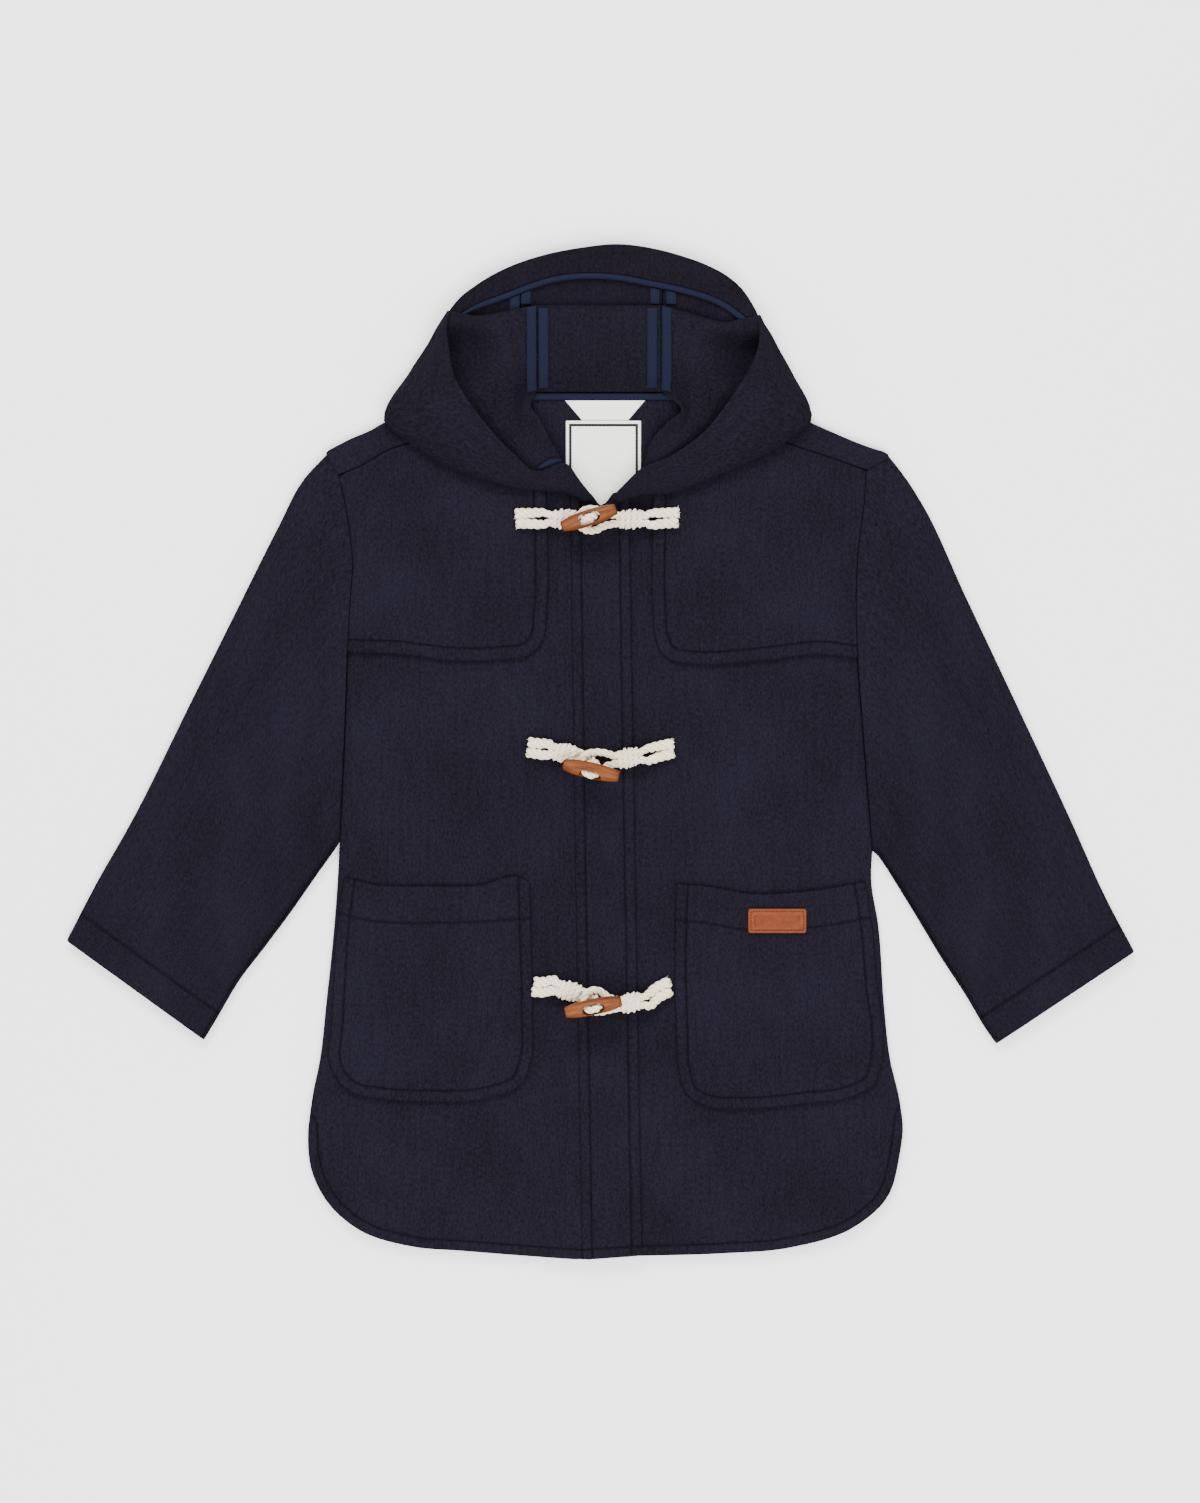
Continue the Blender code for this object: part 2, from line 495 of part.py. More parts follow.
def make_yokes():
    right = list(YOKE_RIGHT_FREE) + list(reversed(ARMHOLE_RIGHT[:5]))
    right += list(reversed(SHOULDER_SEAM_RIGHT[:-1])) + [NECKLINE_RIGHT[1], NECKLINE_RIGHT[2]]
    bm = height_sheet(right, under_yoke_right, LATTICE_X, LATTICE_Y)
    thicken(add_object("yoke_right", bm, WOOL_FINISH), WOOL, 1.0)
    left = list(YOKE_LEFT_FREE) + list(reversed(ARMHOLE_LEFT[:5]))
    left += list(reversed(SHOULDER_SEAM_LEFT[:-1])) + [NECKLINE_LEFT[1], NECKLINE_LEFT[2]]
    bm = height_sheet(left, under_yoke_left, LATTICE_X, LATTICE_Y)
    thicken(add_object("yoke_left", bm, WOOL_FINISH), WOOL, 1.0)


def make_pockets():
    bm = height_sheet(list(POCKET_RIGHT), under_pocket_right, LATTICE_X, LATTICE_Y)
    thicken(add_object("pocket_right", bm, WOOL_FINISH), WOOL, 1.0)
    bm = height_sheet(list(POCKET_LEFT), under_pocket_left, LATTICE_X, LATTICE_Y)
    thicken(add_object("pocket_left", bm, WOOL_FINISH), WOOL, 1.0)

    half_x, half_y = TAG_SIZE[0] / 2, TAG_SIZE[1] / 2
    tag = []
    for sx, sy in ((1, 1), (-1, 1), (-1, -1), (1, -1)):
        for turn in ((0.0, 1.0) if sx * sy > 0 else (1.0, 0.0)):
            tag.append((TAG_CENTRE[0] + sx * (half_x - TAG_CORNER * turn),
                        TAG_CENTRE[1] + sy * (half_y - TAG_CORNER * (1 - turn))))

    def under_tag(x, y):
        return under_pocket_left(x, y) + WOOL + LAY
    bm = height_sheet(tag, under_tag, LATTICE_X, LATTICE_Y)
    thicken(add_object("leather_tag", bm, LEATHER_FINISH), LEATHER, 1.0)


def sleeve_ring(row, start, armhole, fade):
    """One section of a sleeve's middle line: over the top from outer to inner fold, and back."""
    outer, inner = Vector(row[0:2]), Vector(row[2:4])
    top = row[4]
    outer0, inner0 = Vector(start[0:2]), Vector(start[2:4])
    lengths = [0.0]
    path = [outer0] + [Vector(p) for p in armhole]
    for a, b in zip(path, path[1:]):
        lengths.append(lengths[-1] + (b - a).length)
    inward = (inner - outer).normalized()
    low_edge = 2.0 * FOLD_HALF_LOW + WOOL / 2.0
    upper, lower = [], []
    for point, length in zip(path[1:-1], lengths[1:-1]):
        v = length / lengths[-1]
        plan = outer.lerp(inner, v) + (point - outer0.lerp(inner0, v)) * fade
        crown = blend(low_edge, top, smooth_step(min(v, 1 - v) / FOLD_RUN + 0.25 * fade))
        upper.append(Vector((plan.x, plan.y, crown)))
        lower.append(Vector((plan.x, plan.y, WOOL / 2.0)))
    ring = []
    for edge, sign, line in ((outer, 1.0, upper), (inner, -1.0, list(reversed(lower)))):
        high = line[0].z if sign > 0 else upper[-1].z
        half = (max(high, low_edge) - WOOL / 2.0) / 2.0
        centre = edge + inward * sign * (WOOL / 2.0 + half)
        middle = WOOL / 2.0 + half
        for turn in (-1.0, -0.5, 0.0, 0.5, 1.0):
            angle = turn * math.pi / 2.0
            plan = centre - inward * sign * half * math.cos(angle)
            ring.append(Vector((plan.x, plan.y, middle + sign * half * math.sin(angle))))
        ring.extend(line)
    return ring


def make_sleeve(name, table, armhole, side):
    """A flattened tube, open at armhole and cuff."""
    armhole = [(x + side * SEAM, y) for x, y in armhole]
    rows = []
    for index, row in enumerate(table):
        fade = max(0.0, 1.0 - index / 3.0)
        ring = sleeve_ring(row, table[0], armhole, fade)
        rows.append(ring + ring[:1])
    bm = grid_sheet(rows)
    bmesh.ops.remove_doubles(bm, verts=bm.verts, dist=0.01)
    bmesh.ops.recalc_face_normals(bm, faces=bm.faces)
    thicken(add_object(name, bm, WOOL_FINISH), WOOL, 0.0)


# ---------------------------------------------------------------- hood
def hood_section(row, count):
    """A hood side's section, as a smooth line of points from front edge to inner edge."""
    front, fold = Vector(row[0:3]), Vector(row[3:6])
    floor_z = row[6]
    roll, inner = Vector(row[7:10]), Vector(row[10:13])
    over = fold - front
    width = over.to_2d().length
    turn = min(fold.z - floor_z, HOOD_TURN_MOST * width)
    out = over.to_2d().normalized().to_3d()
    back = (roll - fold).to_2d().to_3d()
    top = front + over * 0.5
    top.z = blend(front.z, fold.z, HOOD_TOP_DROP) + HOOD_TOP_ROUND * width
    high = fold - out * turn * HOOD_HIGH[0]
    high.z = fold.z + turn * HOOD_HIGH[1]
    low = fold + back.normalized() * turn * HOOD_LOW
    low.z = floor_z + 0.1
    floor = fold + back * HOOD_FLOOR
    floor.z = floor_z
    beside = roll.lerp(inner, HOOD_BESIDE[0])
    beside.z = blend(roll.z, inner.z, HOOD_BESIDE[1])
    keys = [front, top, high, fold, low, floor, roll, beside, inner]
    line = smooth_curve(keys, 6)
    last = len(line) - 1
    return [line[round(last * i / count)] for i in range(count + 1)]


def make_hood_side(name, table):
    rows = [hood_section(row, 16) for row in table]
    bm = grid_sheet(rows)
    thicken(add_object(name, bm, WOOL_HOOD_FINISH), WOOL, 0.0)


def make_hood_centre():
    low_x, high_x = HOOD_CENTRE_X
    rows = []
    for y, z in HOOD_CENTRE_PATH:
        rows.append([Vector((blend(low_x, high_x, t), y, z)) for t in (0.0, 0.25, 0.5, 0.75, 1.0)])
    thicken(add_object("hood_centre", grid_sheet(rows), WOOL_HOOD_FINISH), WOOL, 0.0)


def under_brim(x, y):
    """Underside of the hood front where it lies back; it climbs to the corners of the opening."""
    low, high, t = lattice_cell(LATTICE_HOOD_X, x)
    away = [(abs(at - BRIM_MIDDLE_X) - BRIM_CLIMB_START) / BRIM_CLIMB_RUN for at in (low, high)]
    ends = [BRIM_UNDER + BRIM_CLIMB * smooth_step(share) for share in away]
    return blend(ends[0], ends[1], t)


def arc_part(arc, low_x, high_x):
    """The stretch of an arc between two x values, with its cut ends."""
    part = [p for p in arc if low_x < p[0] < high_x]
    if arc[0][0] < low_x:
        part.insert(0, (low_x, along(arc, 0, 1, low_x)))
    if arc[-1][0] > high_x:
        part.append((high_x, along(arc, 0, 1, high_x)))
    return part


def make_hood_front():
    stretches = (
        ("hood_brim_right", -200.0, HOOD_SEAM_RIGHT_X - SEAM / 2),
        ("hood_brim_centre", HOOD_SEAM_RIGHT_X + SEAM / 2, HOOD_SEAM_LEFT_X - SEAM / 2),
        ("hood_brim_left", HOOD_SEAM_LEFT_X + SEAM / 2, 200.0),
    )
    for name, low_x, high_x in stretches:
        outline = arc_part(HOOD_TOP_ARC, low_x, high_x)
        outline += list(reversed(arc_part(HOOD_FOLD_ARC, low_x, high_x)))
        bm = height_sheet(outline, under_brim, LATTICE_HOOD_X, ())
        thicken(add_object(name, bm, WOOL_HOOD_FINISH), WOOL, 1.0)

    def under_facing(x, y):
        return under_brim(x, y) + WOOL + LAY
    outer = moved(HOOD_TOP_ARC[1:-1], 0.0, -0.6)
    facing = outer + list(reversed(FACING_INNER_ARC[1:-1]))
    bm = height_sheet(facing, under_facing, LATTICE_HOOD_X, ())
    thicken(add_object("hood_facing", bm, WOOL_HOOD_FINISH), WOOL, 1.0)

    upper = moved(FACING_INNER_ARC[1:-1], 0.0, -SEAM)
    lower = moved(FACING_INNER_ARC[1:-1], 0.0, -SEAM - FACING_TAPE_WIDTH)
    bm = height_sheet(upper + list(reversed(lower)), under_facing, LATTICE_HOOD_X, ())
    thicken(add_object("tape_facing", bm, TAPE_FINISH), WOOL + 0.4, 1.0)


# The folded crown: the outline of its hidden layers
CROWN = (
    (-84.0, 293.0), (-72.0, 303.0), (-50.0, 314.0), (-20.0, 322.0), (10.0, 325.0), (40.0, 321.0),
    (66.0, 313.0), (86.0, 300.0), (92.0, 290.0), (60.0, 289.0), (38.0, 283.0), (37.0, 256.0), (-39.0, 256.0),
    (-40.0, 283.0), (-62.0, 289.0))
CROWN_LOW = 5.5         # its top under the hood front
CROWN_HIGH = 8.3        # and under the centre strip
CROWN_ROUND = 2.2       # how far its edges round away


def make_crown():
    """The layers that are folded away under the hood, as one rounded solid on the surface."""
    bm = outline_sheet(list(CROWN))
    cut_on_lines(bm, 1, (279.0, 284.5))
    bmesh.ops.inset_region(
        bm, faces=bm.faces[:], thickness=CROWN_ROUND, use_boundary=True, use_even_offset=True)
    for vert in bm.verts:
        top = blend(CROWN_HIGH, CROWN_LOW, smooth_step((vert.co.y - 278.0) / 6.0))
        vert.co.z = top - (CROWN_ROUND if vert.is_boundary else 0.0)
    under = bmesh.ops.extrude_face_region(bm, geom=bm.faces[:])
    for item in under["geom"]:
        if isinstance(item, bmesh.types.BMVert):
            item.co.z = 0.0
    bmesh.ops.recalc_face_normals(bm, faces=bm.faces)
    add_object("hood_crown", bm, WOOL_HOOD_FINISH)


# Tapes along the hood's seams: name, low x, high x
INNER_SEAM_TAPES = (
    ("tape_seam_right_inner", -40.6, -34.3),
    ("tape_seam_left_inner", 30.7, 37.3),
)
BRIM_TAPES = (
    ("tape_brim_right_outer", -59.7, -53.2),
    ("tape_brim_right_inner", -52.4, -45.9),
    ("tape_brim_left_inner", 32.7, 38.8),
    ("tape_brim_left_outer", 43.2, 49.8),
)
TAPE_FOOT_CENTRE = 294.4    # y where a tape starts that lies beyond the centre strip
TAPE_FOOT_SIDE = 290.5      # and one that lies beside it
SEAM_TAPE_WIDTH = 6.8
# The pieces on the inside of the back, as (x, y) corners
NECK_TAPE = ((-47.2, 231.9), (50.5, 231.9), (50.5, 236.2), (-47.2, 236.2))
HANGER_TAPE = ((-12.2, 218.4), (18.2, 218.4), (29.4, 231.5), (-23.4, 231.5))
NECK_LABEL = ((-22.8, 160.5), (26.7, 160.5), (26.7, 218.1), (-22.8, 218.1))
# The sliver of tape at the front corner: lower and upper x, y, z
CORNER_TAPE = (
    ((-41.0, 184.6, 14.9), (-40.4, 187.6, 14.9)),
    ((-33.0, 187.2, 14.2), (-32.4, 192.2, 14.2)),
    ((-26.0, 189.4, 13.2), (-25.4, 192.2, 13.2)),
)


def raised_strip(name, rows, above):
    """A tape laid on rows of points of a piece's middle line, moved out by a distance."""
    lifted = [[Vector(p) + Vector((0, 0, above)) for p in row] for row in rows]
    thicken(add_object(name, grid_sheet(lifted), TAPE_FINISH), TAPE, 0.0)


def make_hood_tapes():
    above = WOOL / 2 + LAY + TAPE / 2 + 0.2
    path = HOOD_CENTRE_PATH[1:7]
    for name, low_x, high_x in INNER_SEAM_TAPES:
        rows = [((low_x, y, z), (high_x, y, z)) for y, z in path]
        raised_strip(name, rows, above)
    for name, table, side in (("tape_seam_right_outer", HOOD_SIDE_RIGHT, -1),
                              ("tape_seam_left_outer", HOOD_SIDE_LEFT, 1)):
        rows = []
        for row in table[6:]:
            inner = Vector(row[10:13])
            section = hood_section(row, 48)
            wide = min(section[36:], key=lambda p: abs(abs(p.x - inner.x) - SEAM_TAPE_WIDTH))
            rows.append((inner + Vector((side * 0.6, 0, 0)), wide))
        raised_strip(name, rows, above + 0.3)

    def over_brim(x, y):
        return under_brim(x, y) + WOOL + LAY
    for name, low_x, high_x in BRIM_TAPES:
        top_low = along(FACING_INNER_ARC, 0, 1, low_x) - FACING_TAPE_WIDTH - 2 * SEAM
        top_high = along(FACING_INNER_ARC, 0, 1, high_x) - FACING_TAPE_WIDTH - 2 * SEAM
        beyond_centre = low_x > HOOD_CENTRE_X[0] - 12 and high_x < HOOD_CENTRE_X[1] + 11
        foot = TAPE_FOOT_CENTRE if beyond_centre else TAPE_FOOT_SIDE
        outline = [(low_x, foot), (high_x, foot), (high_x, top_high), (low_x, top_low)]
        bm = height_sheet(outline, over_brim, LATTICE_HOOD_X, ())
        thicken(add_object(name, bm, TAPE_FINISH), TAPE, 1.0)


def flat_piece(name, outline, under, thickness, finish):
    bm = outline_sheet(list(outline))
    for vert in bm.verts:
        vert.co.z = under
    thicken(add_object(name, bm, finish), thickness, 1.0)


def make_neck():
    """The tape over the back neck seam, the hanger tape and the label, on the inside of the back."""
    under = WOOL + SEAM
    flat_piece("tape_neck", NECK_TAPE, under, TAPE, TAPE_FINISH)
    flat_piece("hanger_tape", HANGER_TAPE, under, TAPE, LABEL_FINISH)
    flat_piece("neck_label", NECK_LABEL, under, TAPE, LABEL_FINISH)
    raised_strip("tape_corner", CORNER_TAPE, 0.0)


# ---------------------------------------------------------------- toggles, cords and knots
def make_toggle(name, x, y, turn, roll):
    """A turned barrel with blunt ends and a long slot through the middle."""
    half = TOGGLE_LENGTH / 2
    profile = (
        (0.0, TOGGLE_END_RADIUS - 0.8), (0.8, TOGGLE_END_RADIUS), (7.0, 4.7), (13.0, 5.2),
        (half, TOGGLE_RADIUS))
    stations = [(-half + at, r) for at, r in profile] + [(half - at, r) for at, r in reversed(profile[:-1])]
    bm = bmesh.new()
    spine = [bm.verts.new((-half, 0, 0))] + [bm.verts.new((at, 0, r)) for at, r in stations]
    spine.append(bm.verts.new((half, 0, 0)))
    edges = [bm.edges.new(pair) for pair in zip(spine, spine[1:])]
    bmesh.ops.spin(bm, geom=spine + edges, cent=(0, 0, 0), axis=(1, 0, 0), angle=math.tau, steps=16,
                   use_merge=True)
    bmesh.ops.remove_doubles(bm, verts=bm.verts, dist=0.001)
    bmesh.ops.recalc_face_normals(bm, faces=bm.faces)
    toggle = add_object("toggle_" + name, bm, WOOD_FINISH, smooth=True)

    slot = []
    for side, start in ((1, -0.5), (-1, 0.5)):
        for step in range(5):
            angle = math.pi * (start + step / 4)
            slot.append((side * SLOT_REACH + SLOT_HALF * math.cos(angle), SLOT_HALF * math.sin(angle)))
    bm = outline_sheet(slot)
    sides = bmesh.ops.extrude_face_region(bm, geom=bm.faces[:])
    lifted = [g for g in sides["geom"] if isinstance(g, bmesh.types.BMVert)]
    bmesh.ops.translate(bm, vec=(0, 0, 20), verts=lifted)
    bmesh.ops.translate(bm, vec=(0, 0, -10), verts=bm.verts)
    bmesh.ops.recalc_face_normals(bm, faces=bm.faces)
    cutter = add_object("slot_" + name, bm, WOOD_FINISH)
    cutter.hide_render = True
    cutter.display_type = "WIRE"
    for obj in (toggle, cutter):
        obj.location = Vector((x, y, TOGGLE_HEIGHT)) * MM
        obj.rotation_euler = (math.radians(roll), 0.0, math.radians(turn))
    cut = toggle.modifiers.new("slot", "BOOLEAN")
    cut.object = cutter
    cut.operation = "DIFFERENCE"
    clean = toggle.modifiers.new("clean", "WELD")
    clean.merge_threshold = 0.00001


def rest_height(x, y):
    """Height of a cord's middle line where it lies on the cloth."""
    around = [cloth_top(x + dx, y + dy) for dx in (-3.2, 0.0, 3.2) for dy in (-2.4, 0.0, 2.4)]
    return max(around) + SEAM + CORD / 2


def knot_height(outer, inner):
    """Height of a knot's middle line: its underside clears the cloth along its whole length."""
    across = (inner - outer).normalized().orthogonal() * KNOT_HALF_WIDTH
    places = [outer.lerp(inner, t) + across * s for t in (0, 0.25, 0.5, 0.75, 1) for s in (-1, 0, 1)]
    tops = [cloth_top(*place) for place in places]
    return max(tops) + SEAM + KNOT_HALF_HEIGHT


def cord_ends(side, tail, outer, inner, high):
    """One strand from its tail's end to just inside the knot; side says which of the two."""
    along_cord = (inner - outer).normalized()
    across = Vector((-along_cord.y, along_cord.x)) * side
    keys = []
    for place, spread, lift in ((tail, TAIL_SPREAD, 0.0), (tail.lerp(outer, 0.5), TAIL_SPREAD, 0.0),
                                (outer - along_cord * 5.0, TAIL_SPREAD - 0.5, 0.6)):
        at = place + across * spread
        keys.append((at.x, at.y, blend(rest_height(at.x, at.y), high, lift)))
    for place in (outer - along_cord * 0.5, inner - along_cord * 0.5):
        at = place + across * KNOT_SPREAD
        keys.append((at.x, at.y, high))
    return keys


def make_cord(name, keys):
    """A round cord along its route, kept clear of the cloth below it."""
    curve = bpy.data.curves.new(name, "CURVE")
    curve.dimensions = "3D"
    curve.bevel_depth = CORD / 2 * MM
    curve.bevel_resolution = 2
    curve.use_fill_caps = True
    line = smooth_curve(keys, 2)
    spline = curve.splines.new("POLY")
    spline.points.add(len(line) - 1)
    for point, at in zip(spline.points, line):
        at.z = max(at.z, rest_height(at.x, at.y))
        point.co = (at.x * MM, at.y * MM, at.z * MM, 1.0)
    obj = bpy.data.objects.new(name, curve)
    bpy.context.scene.collection.objects.link(obj)
    curve.materials.append(material(name, *CORD_FINISH))


def make_knot(name, outer, inner, high):
    """The cord's wraps round its two strands: an oval sleeve with a rib for each wrap."""
    run = inner - outer
    axis = run.normalized()
    across = Vector((-axis.y, axis.x))
    rings = []
    stations = KNOT_WRAPS * 2 + 1
    for station in range(stations):
        full = 1.0 if station % 2 else KNOT_GROOVE
        rings.append((station / (stations - 1), KNOT_HALF_WIDTH * full, KNOT_HALF_HEIGHT * full, 0.8))
    rings.append((1.0, KNOT_HOLE_WIDTH, KNOT_HOLE_HEIGHT, 0.6))
    rings.append((0.0, KNOT_HOLE_WIDTH, KNOT_HOLE_HEIGHT, 0.6))
    rings.append(rings[0])
    rows = []
    for t, wide, tall, square in rings:
        row = []
        for step in range(13):
            angle = math.tau * step / 12
            off = Vector((math.copysign(abs(math.cos(angle)) ** square, math.cos(angle)),
                          math.copysign(abs(math.sin(angle)) ** square, math.sin(angle))))
            at = outer + run * t + across * off.x * wide + axis * KNOT_SLANT * off.x
            row.append((at.x, at.y, high + tall * off.y))
        rows.append(row)
    bm = grid_sheet(rows)
    bmesh.ops.remove_doubles(bm, verts=bm.verts, dist=0.001)
    bmesh.ops.recalc_face_normals(bm, faces=bm.faces)
    add_object(name, bm, CORD_FINISH, smooth=True)


def stem_route(x, y, turn, roll, eye, outer, inner, high):
    """The right cord from its knot, under the loop, up through the slot and back."""
    leave = inner + (inner - outer).normalized() * 3.0
    start = inner.y
    turned = Matrix.Rotation(math.radians(turn), 3, "Z") @ Matrix.Rotation(math.radians(roll), 3, "X")
    centre = Vector((x, y, TOGGLE_HEIGHT))
    keys = []
    for rx, ry, rz in STEM_ROUTE:
        if rz > STEM_CLEAR:
            keys.append(tuple(centre + turned @ Vector((rx, ry, rz - TOGGLE_HEIGHT))))
            continue
        beside = blend(eye, start - y, smooth_step((-rx - 1.0) / 6.0))
        beside = blend(beside, eye * 0.7, smooth_step((rz - 11.0) / 5.0))
        keys.append((x + rx, y + ry + beside, rz))
    ends = [(leave.x, leave.y + side * KNOT_SPREAD, high - 1.35) for side in (1, -1)]
    return ends[:1] + keys + ends[1:]


def loop_route(x, y, eye, start):
    """The left cord from its knot round the stem and back, over the stem at its far end."""
    keys = []
    for rx, ry, rz in LOOP_ROUTE:
        beside = blend(eye, start - y, smooth_step((rx - 2.0) / 9.0))
        keys.append((x + rx, y + ry + beside, rz))
    return keys


def make_fastenings():
    for name, x, y, turn, roll, eye, right, left in TOGGLES:
        make_toggle(name, x, y, turn, roll)
        for hand, row in (("right", right), ("left", left)):
            tail, outer, inner = Vector(row[0:2]), Vector(row[2:4]), Vector(row[4:6])
            high = knot_height(outer, inner)
            side = 1 if hand == "right" else -1
            if hand == "right":
                middle = stem_route(x, y, turn, roll, eye, outer, inner, high)
            else:
                middle = loop_route(x, y, eye, inner.y)
            keys = cord_ends(side, tail, outer, inner, high) + middle
            keys += list(reversed(cord_ends(-side, tail, outer, inner, high)))
            make_cord("cord_%s_%s" % (hand, name), keys)
            make_knot("knot_%s_%s" % (hand, name), outer, inner, high)


def main():
    for obj in list(bpy.data.objects):
        bpy.data.objects.remove(obj, do_unlink=True)
    make_back()
    make_fronts()
    make_yokes()
    make_pockets()
    make_sleeve("sleeve_right", SLEEVE_RIGHT, ARMHOLE_RIGHT, -1)
    make_sleeve("sleeve_left", SLEEVE_LEFT, ARMHOLE_LEFT, 1)
    make_hood_side("hood_side_right", HOOD_SIDE_RIGHT)
    make_hood_side("hood_side_left", HOOD_SIDE_LEFT)
    make_hood_centre()
    make_hood_front()
    make_crown()
    make_hood_tapes()
    make_neck()
    make_fastenings()


main()
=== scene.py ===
# %% [markdown]
# # A child's hooded duffle coat, laid flat
# The coat lies on its back on a pale floor, fronts fastened, hood folded open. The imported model
# gives every piece its place and size. This lesson makes the finished cloth, cords and toggles
# around it, one piece at a time, in the order in which a maker would look at them.
#
# The frame: X runs across the coat, +X towards the wearer's left arm. Y runs along it, +Y towards
# the hood. Z is up. Sizes are in millimetres, because cloth is cut and sewn in millimetres, and
# MM turns them to metres where a mesh is made. "Right" and "left" are the wearer's.

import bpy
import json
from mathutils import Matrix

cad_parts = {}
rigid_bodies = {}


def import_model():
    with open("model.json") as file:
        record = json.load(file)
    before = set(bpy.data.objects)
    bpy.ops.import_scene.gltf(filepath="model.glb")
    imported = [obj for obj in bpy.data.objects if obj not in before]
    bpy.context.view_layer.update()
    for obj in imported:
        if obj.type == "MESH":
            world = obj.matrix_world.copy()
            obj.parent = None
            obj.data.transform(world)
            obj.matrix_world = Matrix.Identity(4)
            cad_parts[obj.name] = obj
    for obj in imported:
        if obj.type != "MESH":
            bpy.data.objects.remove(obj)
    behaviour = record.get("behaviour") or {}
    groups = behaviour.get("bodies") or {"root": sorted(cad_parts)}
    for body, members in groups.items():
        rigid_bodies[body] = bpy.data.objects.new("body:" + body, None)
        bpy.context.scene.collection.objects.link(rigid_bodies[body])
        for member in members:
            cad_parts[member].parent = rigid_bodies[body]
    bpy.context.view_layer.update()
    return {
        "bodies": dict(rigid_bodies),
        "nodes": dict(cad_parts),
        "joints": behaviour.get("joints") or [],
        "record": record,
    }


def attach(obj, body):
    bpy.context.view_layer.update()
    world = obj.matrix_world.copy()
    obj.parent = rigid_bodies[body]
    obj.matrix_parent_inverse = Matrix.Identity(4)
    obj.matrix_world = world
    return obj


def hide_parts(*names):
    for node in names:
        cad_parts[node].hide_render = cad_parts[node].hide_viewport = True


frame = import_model()
print("frame loaded with", len(frame["nodes"]), "nodes")

# %% [markdown]
# ## Small tools
# A few plain functions that every later cell uses: blends, smooth steps, and one that turns the
# hex colours of a paint chart into the linear values that a renderer mixes light with.

# %% Modules, units and blends
import json
import math
import random

import bmesh
import bpy
import numpy as np
from mathutils import Matrix, Vector, noise

MM = 0.001


def blend(a, b, t):
    return a + (b - a) * t


def smooth_step(t):
    t = np.clip(t, 0.0, 1.0)
    return t * t * (3.0 - 2.0 * t)


def along(table, key, column, value):
    """Read one column of a table at a value of another, with straight lines between its rows."""
    rows = sorted(table, key=lambda row: row[key])
    return np.interp(value, [row[key] for row in rows], [row[column] for row in rows])


def hex_colour(code):
    """An sRGB hex value as linear red, green, blue, alpha."""
    def linear(c):
        return c / 12.92 if c <= 0.04045 else ((c + 0.055) / 1.055) ** 2.4
    return tuple(linear(int(code[i:i + 2], 16) / 255) for i in (0, 2, 4)) + (1.0,)


print("wool navy in linear light:", [round(c, 4) for c in hex_colour("26262f")])

# %% [markdown]
# ## Camera, floor and light
# A coat laid flat is seen from straight above, through a long lens so that nothing leans. The
# light is a wide soft box beyond the hood, so each stitched edge gets a pale upper side and a
# dark lower one; a second box overhead fills in. The floor is a plain white board.

# %% Camera
FRAME_HEIGHT = 992.0          # what the picture spans from top to bottom, in millimetres on the floor
CAMERA_HEIGHT = 3200.0
CAMERA_X = -0.33
SENSOR_HEIGHT = 24.0

camera_data = bpy.data.cameras.new("camera")
camera_data.sensor_fit = "VERTICAL"
camera_data.sensor_height = SENSOR_HEIGHT
camera_data.lens = SENSOR_HEIGHT * CAMERA_HEIGHT / FRAME_HEIGHT
camera = bpy.data.objects.new("camera", camera_data)
camera.location = (CAMERA_X * MM, 0.0, CAMERA_HEIGHT * MM)
bpy.context.scene.collection.objects.link(camera)
bpy.context.scene.camera = camera
print("lens", round(camera_data.lens, 1), "mm")

# %% Floor and lights
FLOOR_BELOW = 0.35            # the floor lies this far under the coat's lowest point
FLOOR_SIZE = 6000.0
SKY_STRENGTH = 1.45


def add_light(name, place, size, watts):
    """A white rectangular soft box at a place in millimetres, turned to the middle of the coat."""
    data = bpy.data.lights.new(name, "AREA")
    data.shape = "RECTANGLE"
    data.size = size[0] * MM
    data.size_y = size[1] * MM
    data.energy = watts
    light = bpy.data.objects.new(name, data)
    light.location = Vector(place) * MM
    light.rotation_euler = (-Vector(place)).to_track_quat("-Z", "Y").to_euler()
    bpy.context.scene.collection.objects.link(light)
    print(name, ":", watts, "W")


add_light("light_beyond_hood", (-500, 2600, 2050), (2000, 1200), 160.0)
add_light("light_overhead", (300, -1500, 2500), (2400, 2400), 158.0)
world = bpy.data.worlds.new("studio")
world.use_nodes = True
sky = world.node_tree.nodes["Background"]
sky.inputs["Color"].default_value = hex_colour("ffffff")
sky.inputs["Strength"].default_value = SKY_STRENGTH
bpy.context.scene.world = world

# %% [markdown]
# ## Small functions for material nodes
# A material is a tree of nodes. `add_node` adds one node, sets its own options, and gives each
# socket either a plain value or a link from another node. The functions after it each add the
# nodes for one effect and hand on their output, so that each material below reads like a recipe.

# %% Add a node, begin and end a material
def add_node(mat, kind, sockets=None, **options):
    node = mat.node_tree.nodes.new(kind)
    for name, value in options.items():
        setattr(node, name, value)
    for key, value in (sockets or {}).items():
        if isinstance(value, bpy.types.NodeSocket):
            mat.node_tree.links.new(value, node.inputs[key])
        else:
            node.inputs[key].default_value = value
    return node


def new_material(name, roughness, **sockets):
    """A Principled material; sockets are given with _ for spaces."""
    mat = bpy.data.materials.new(name)
    mat.use_nodes = True
    shader = mat.node_tree.nodes["Principled BSDF"]
    shader.inputs["Roughness"].default_value = roughness
    for key, value in sockets.items():
        shader.inputs[key.replace("_", " ")].default_value = value
    return mat


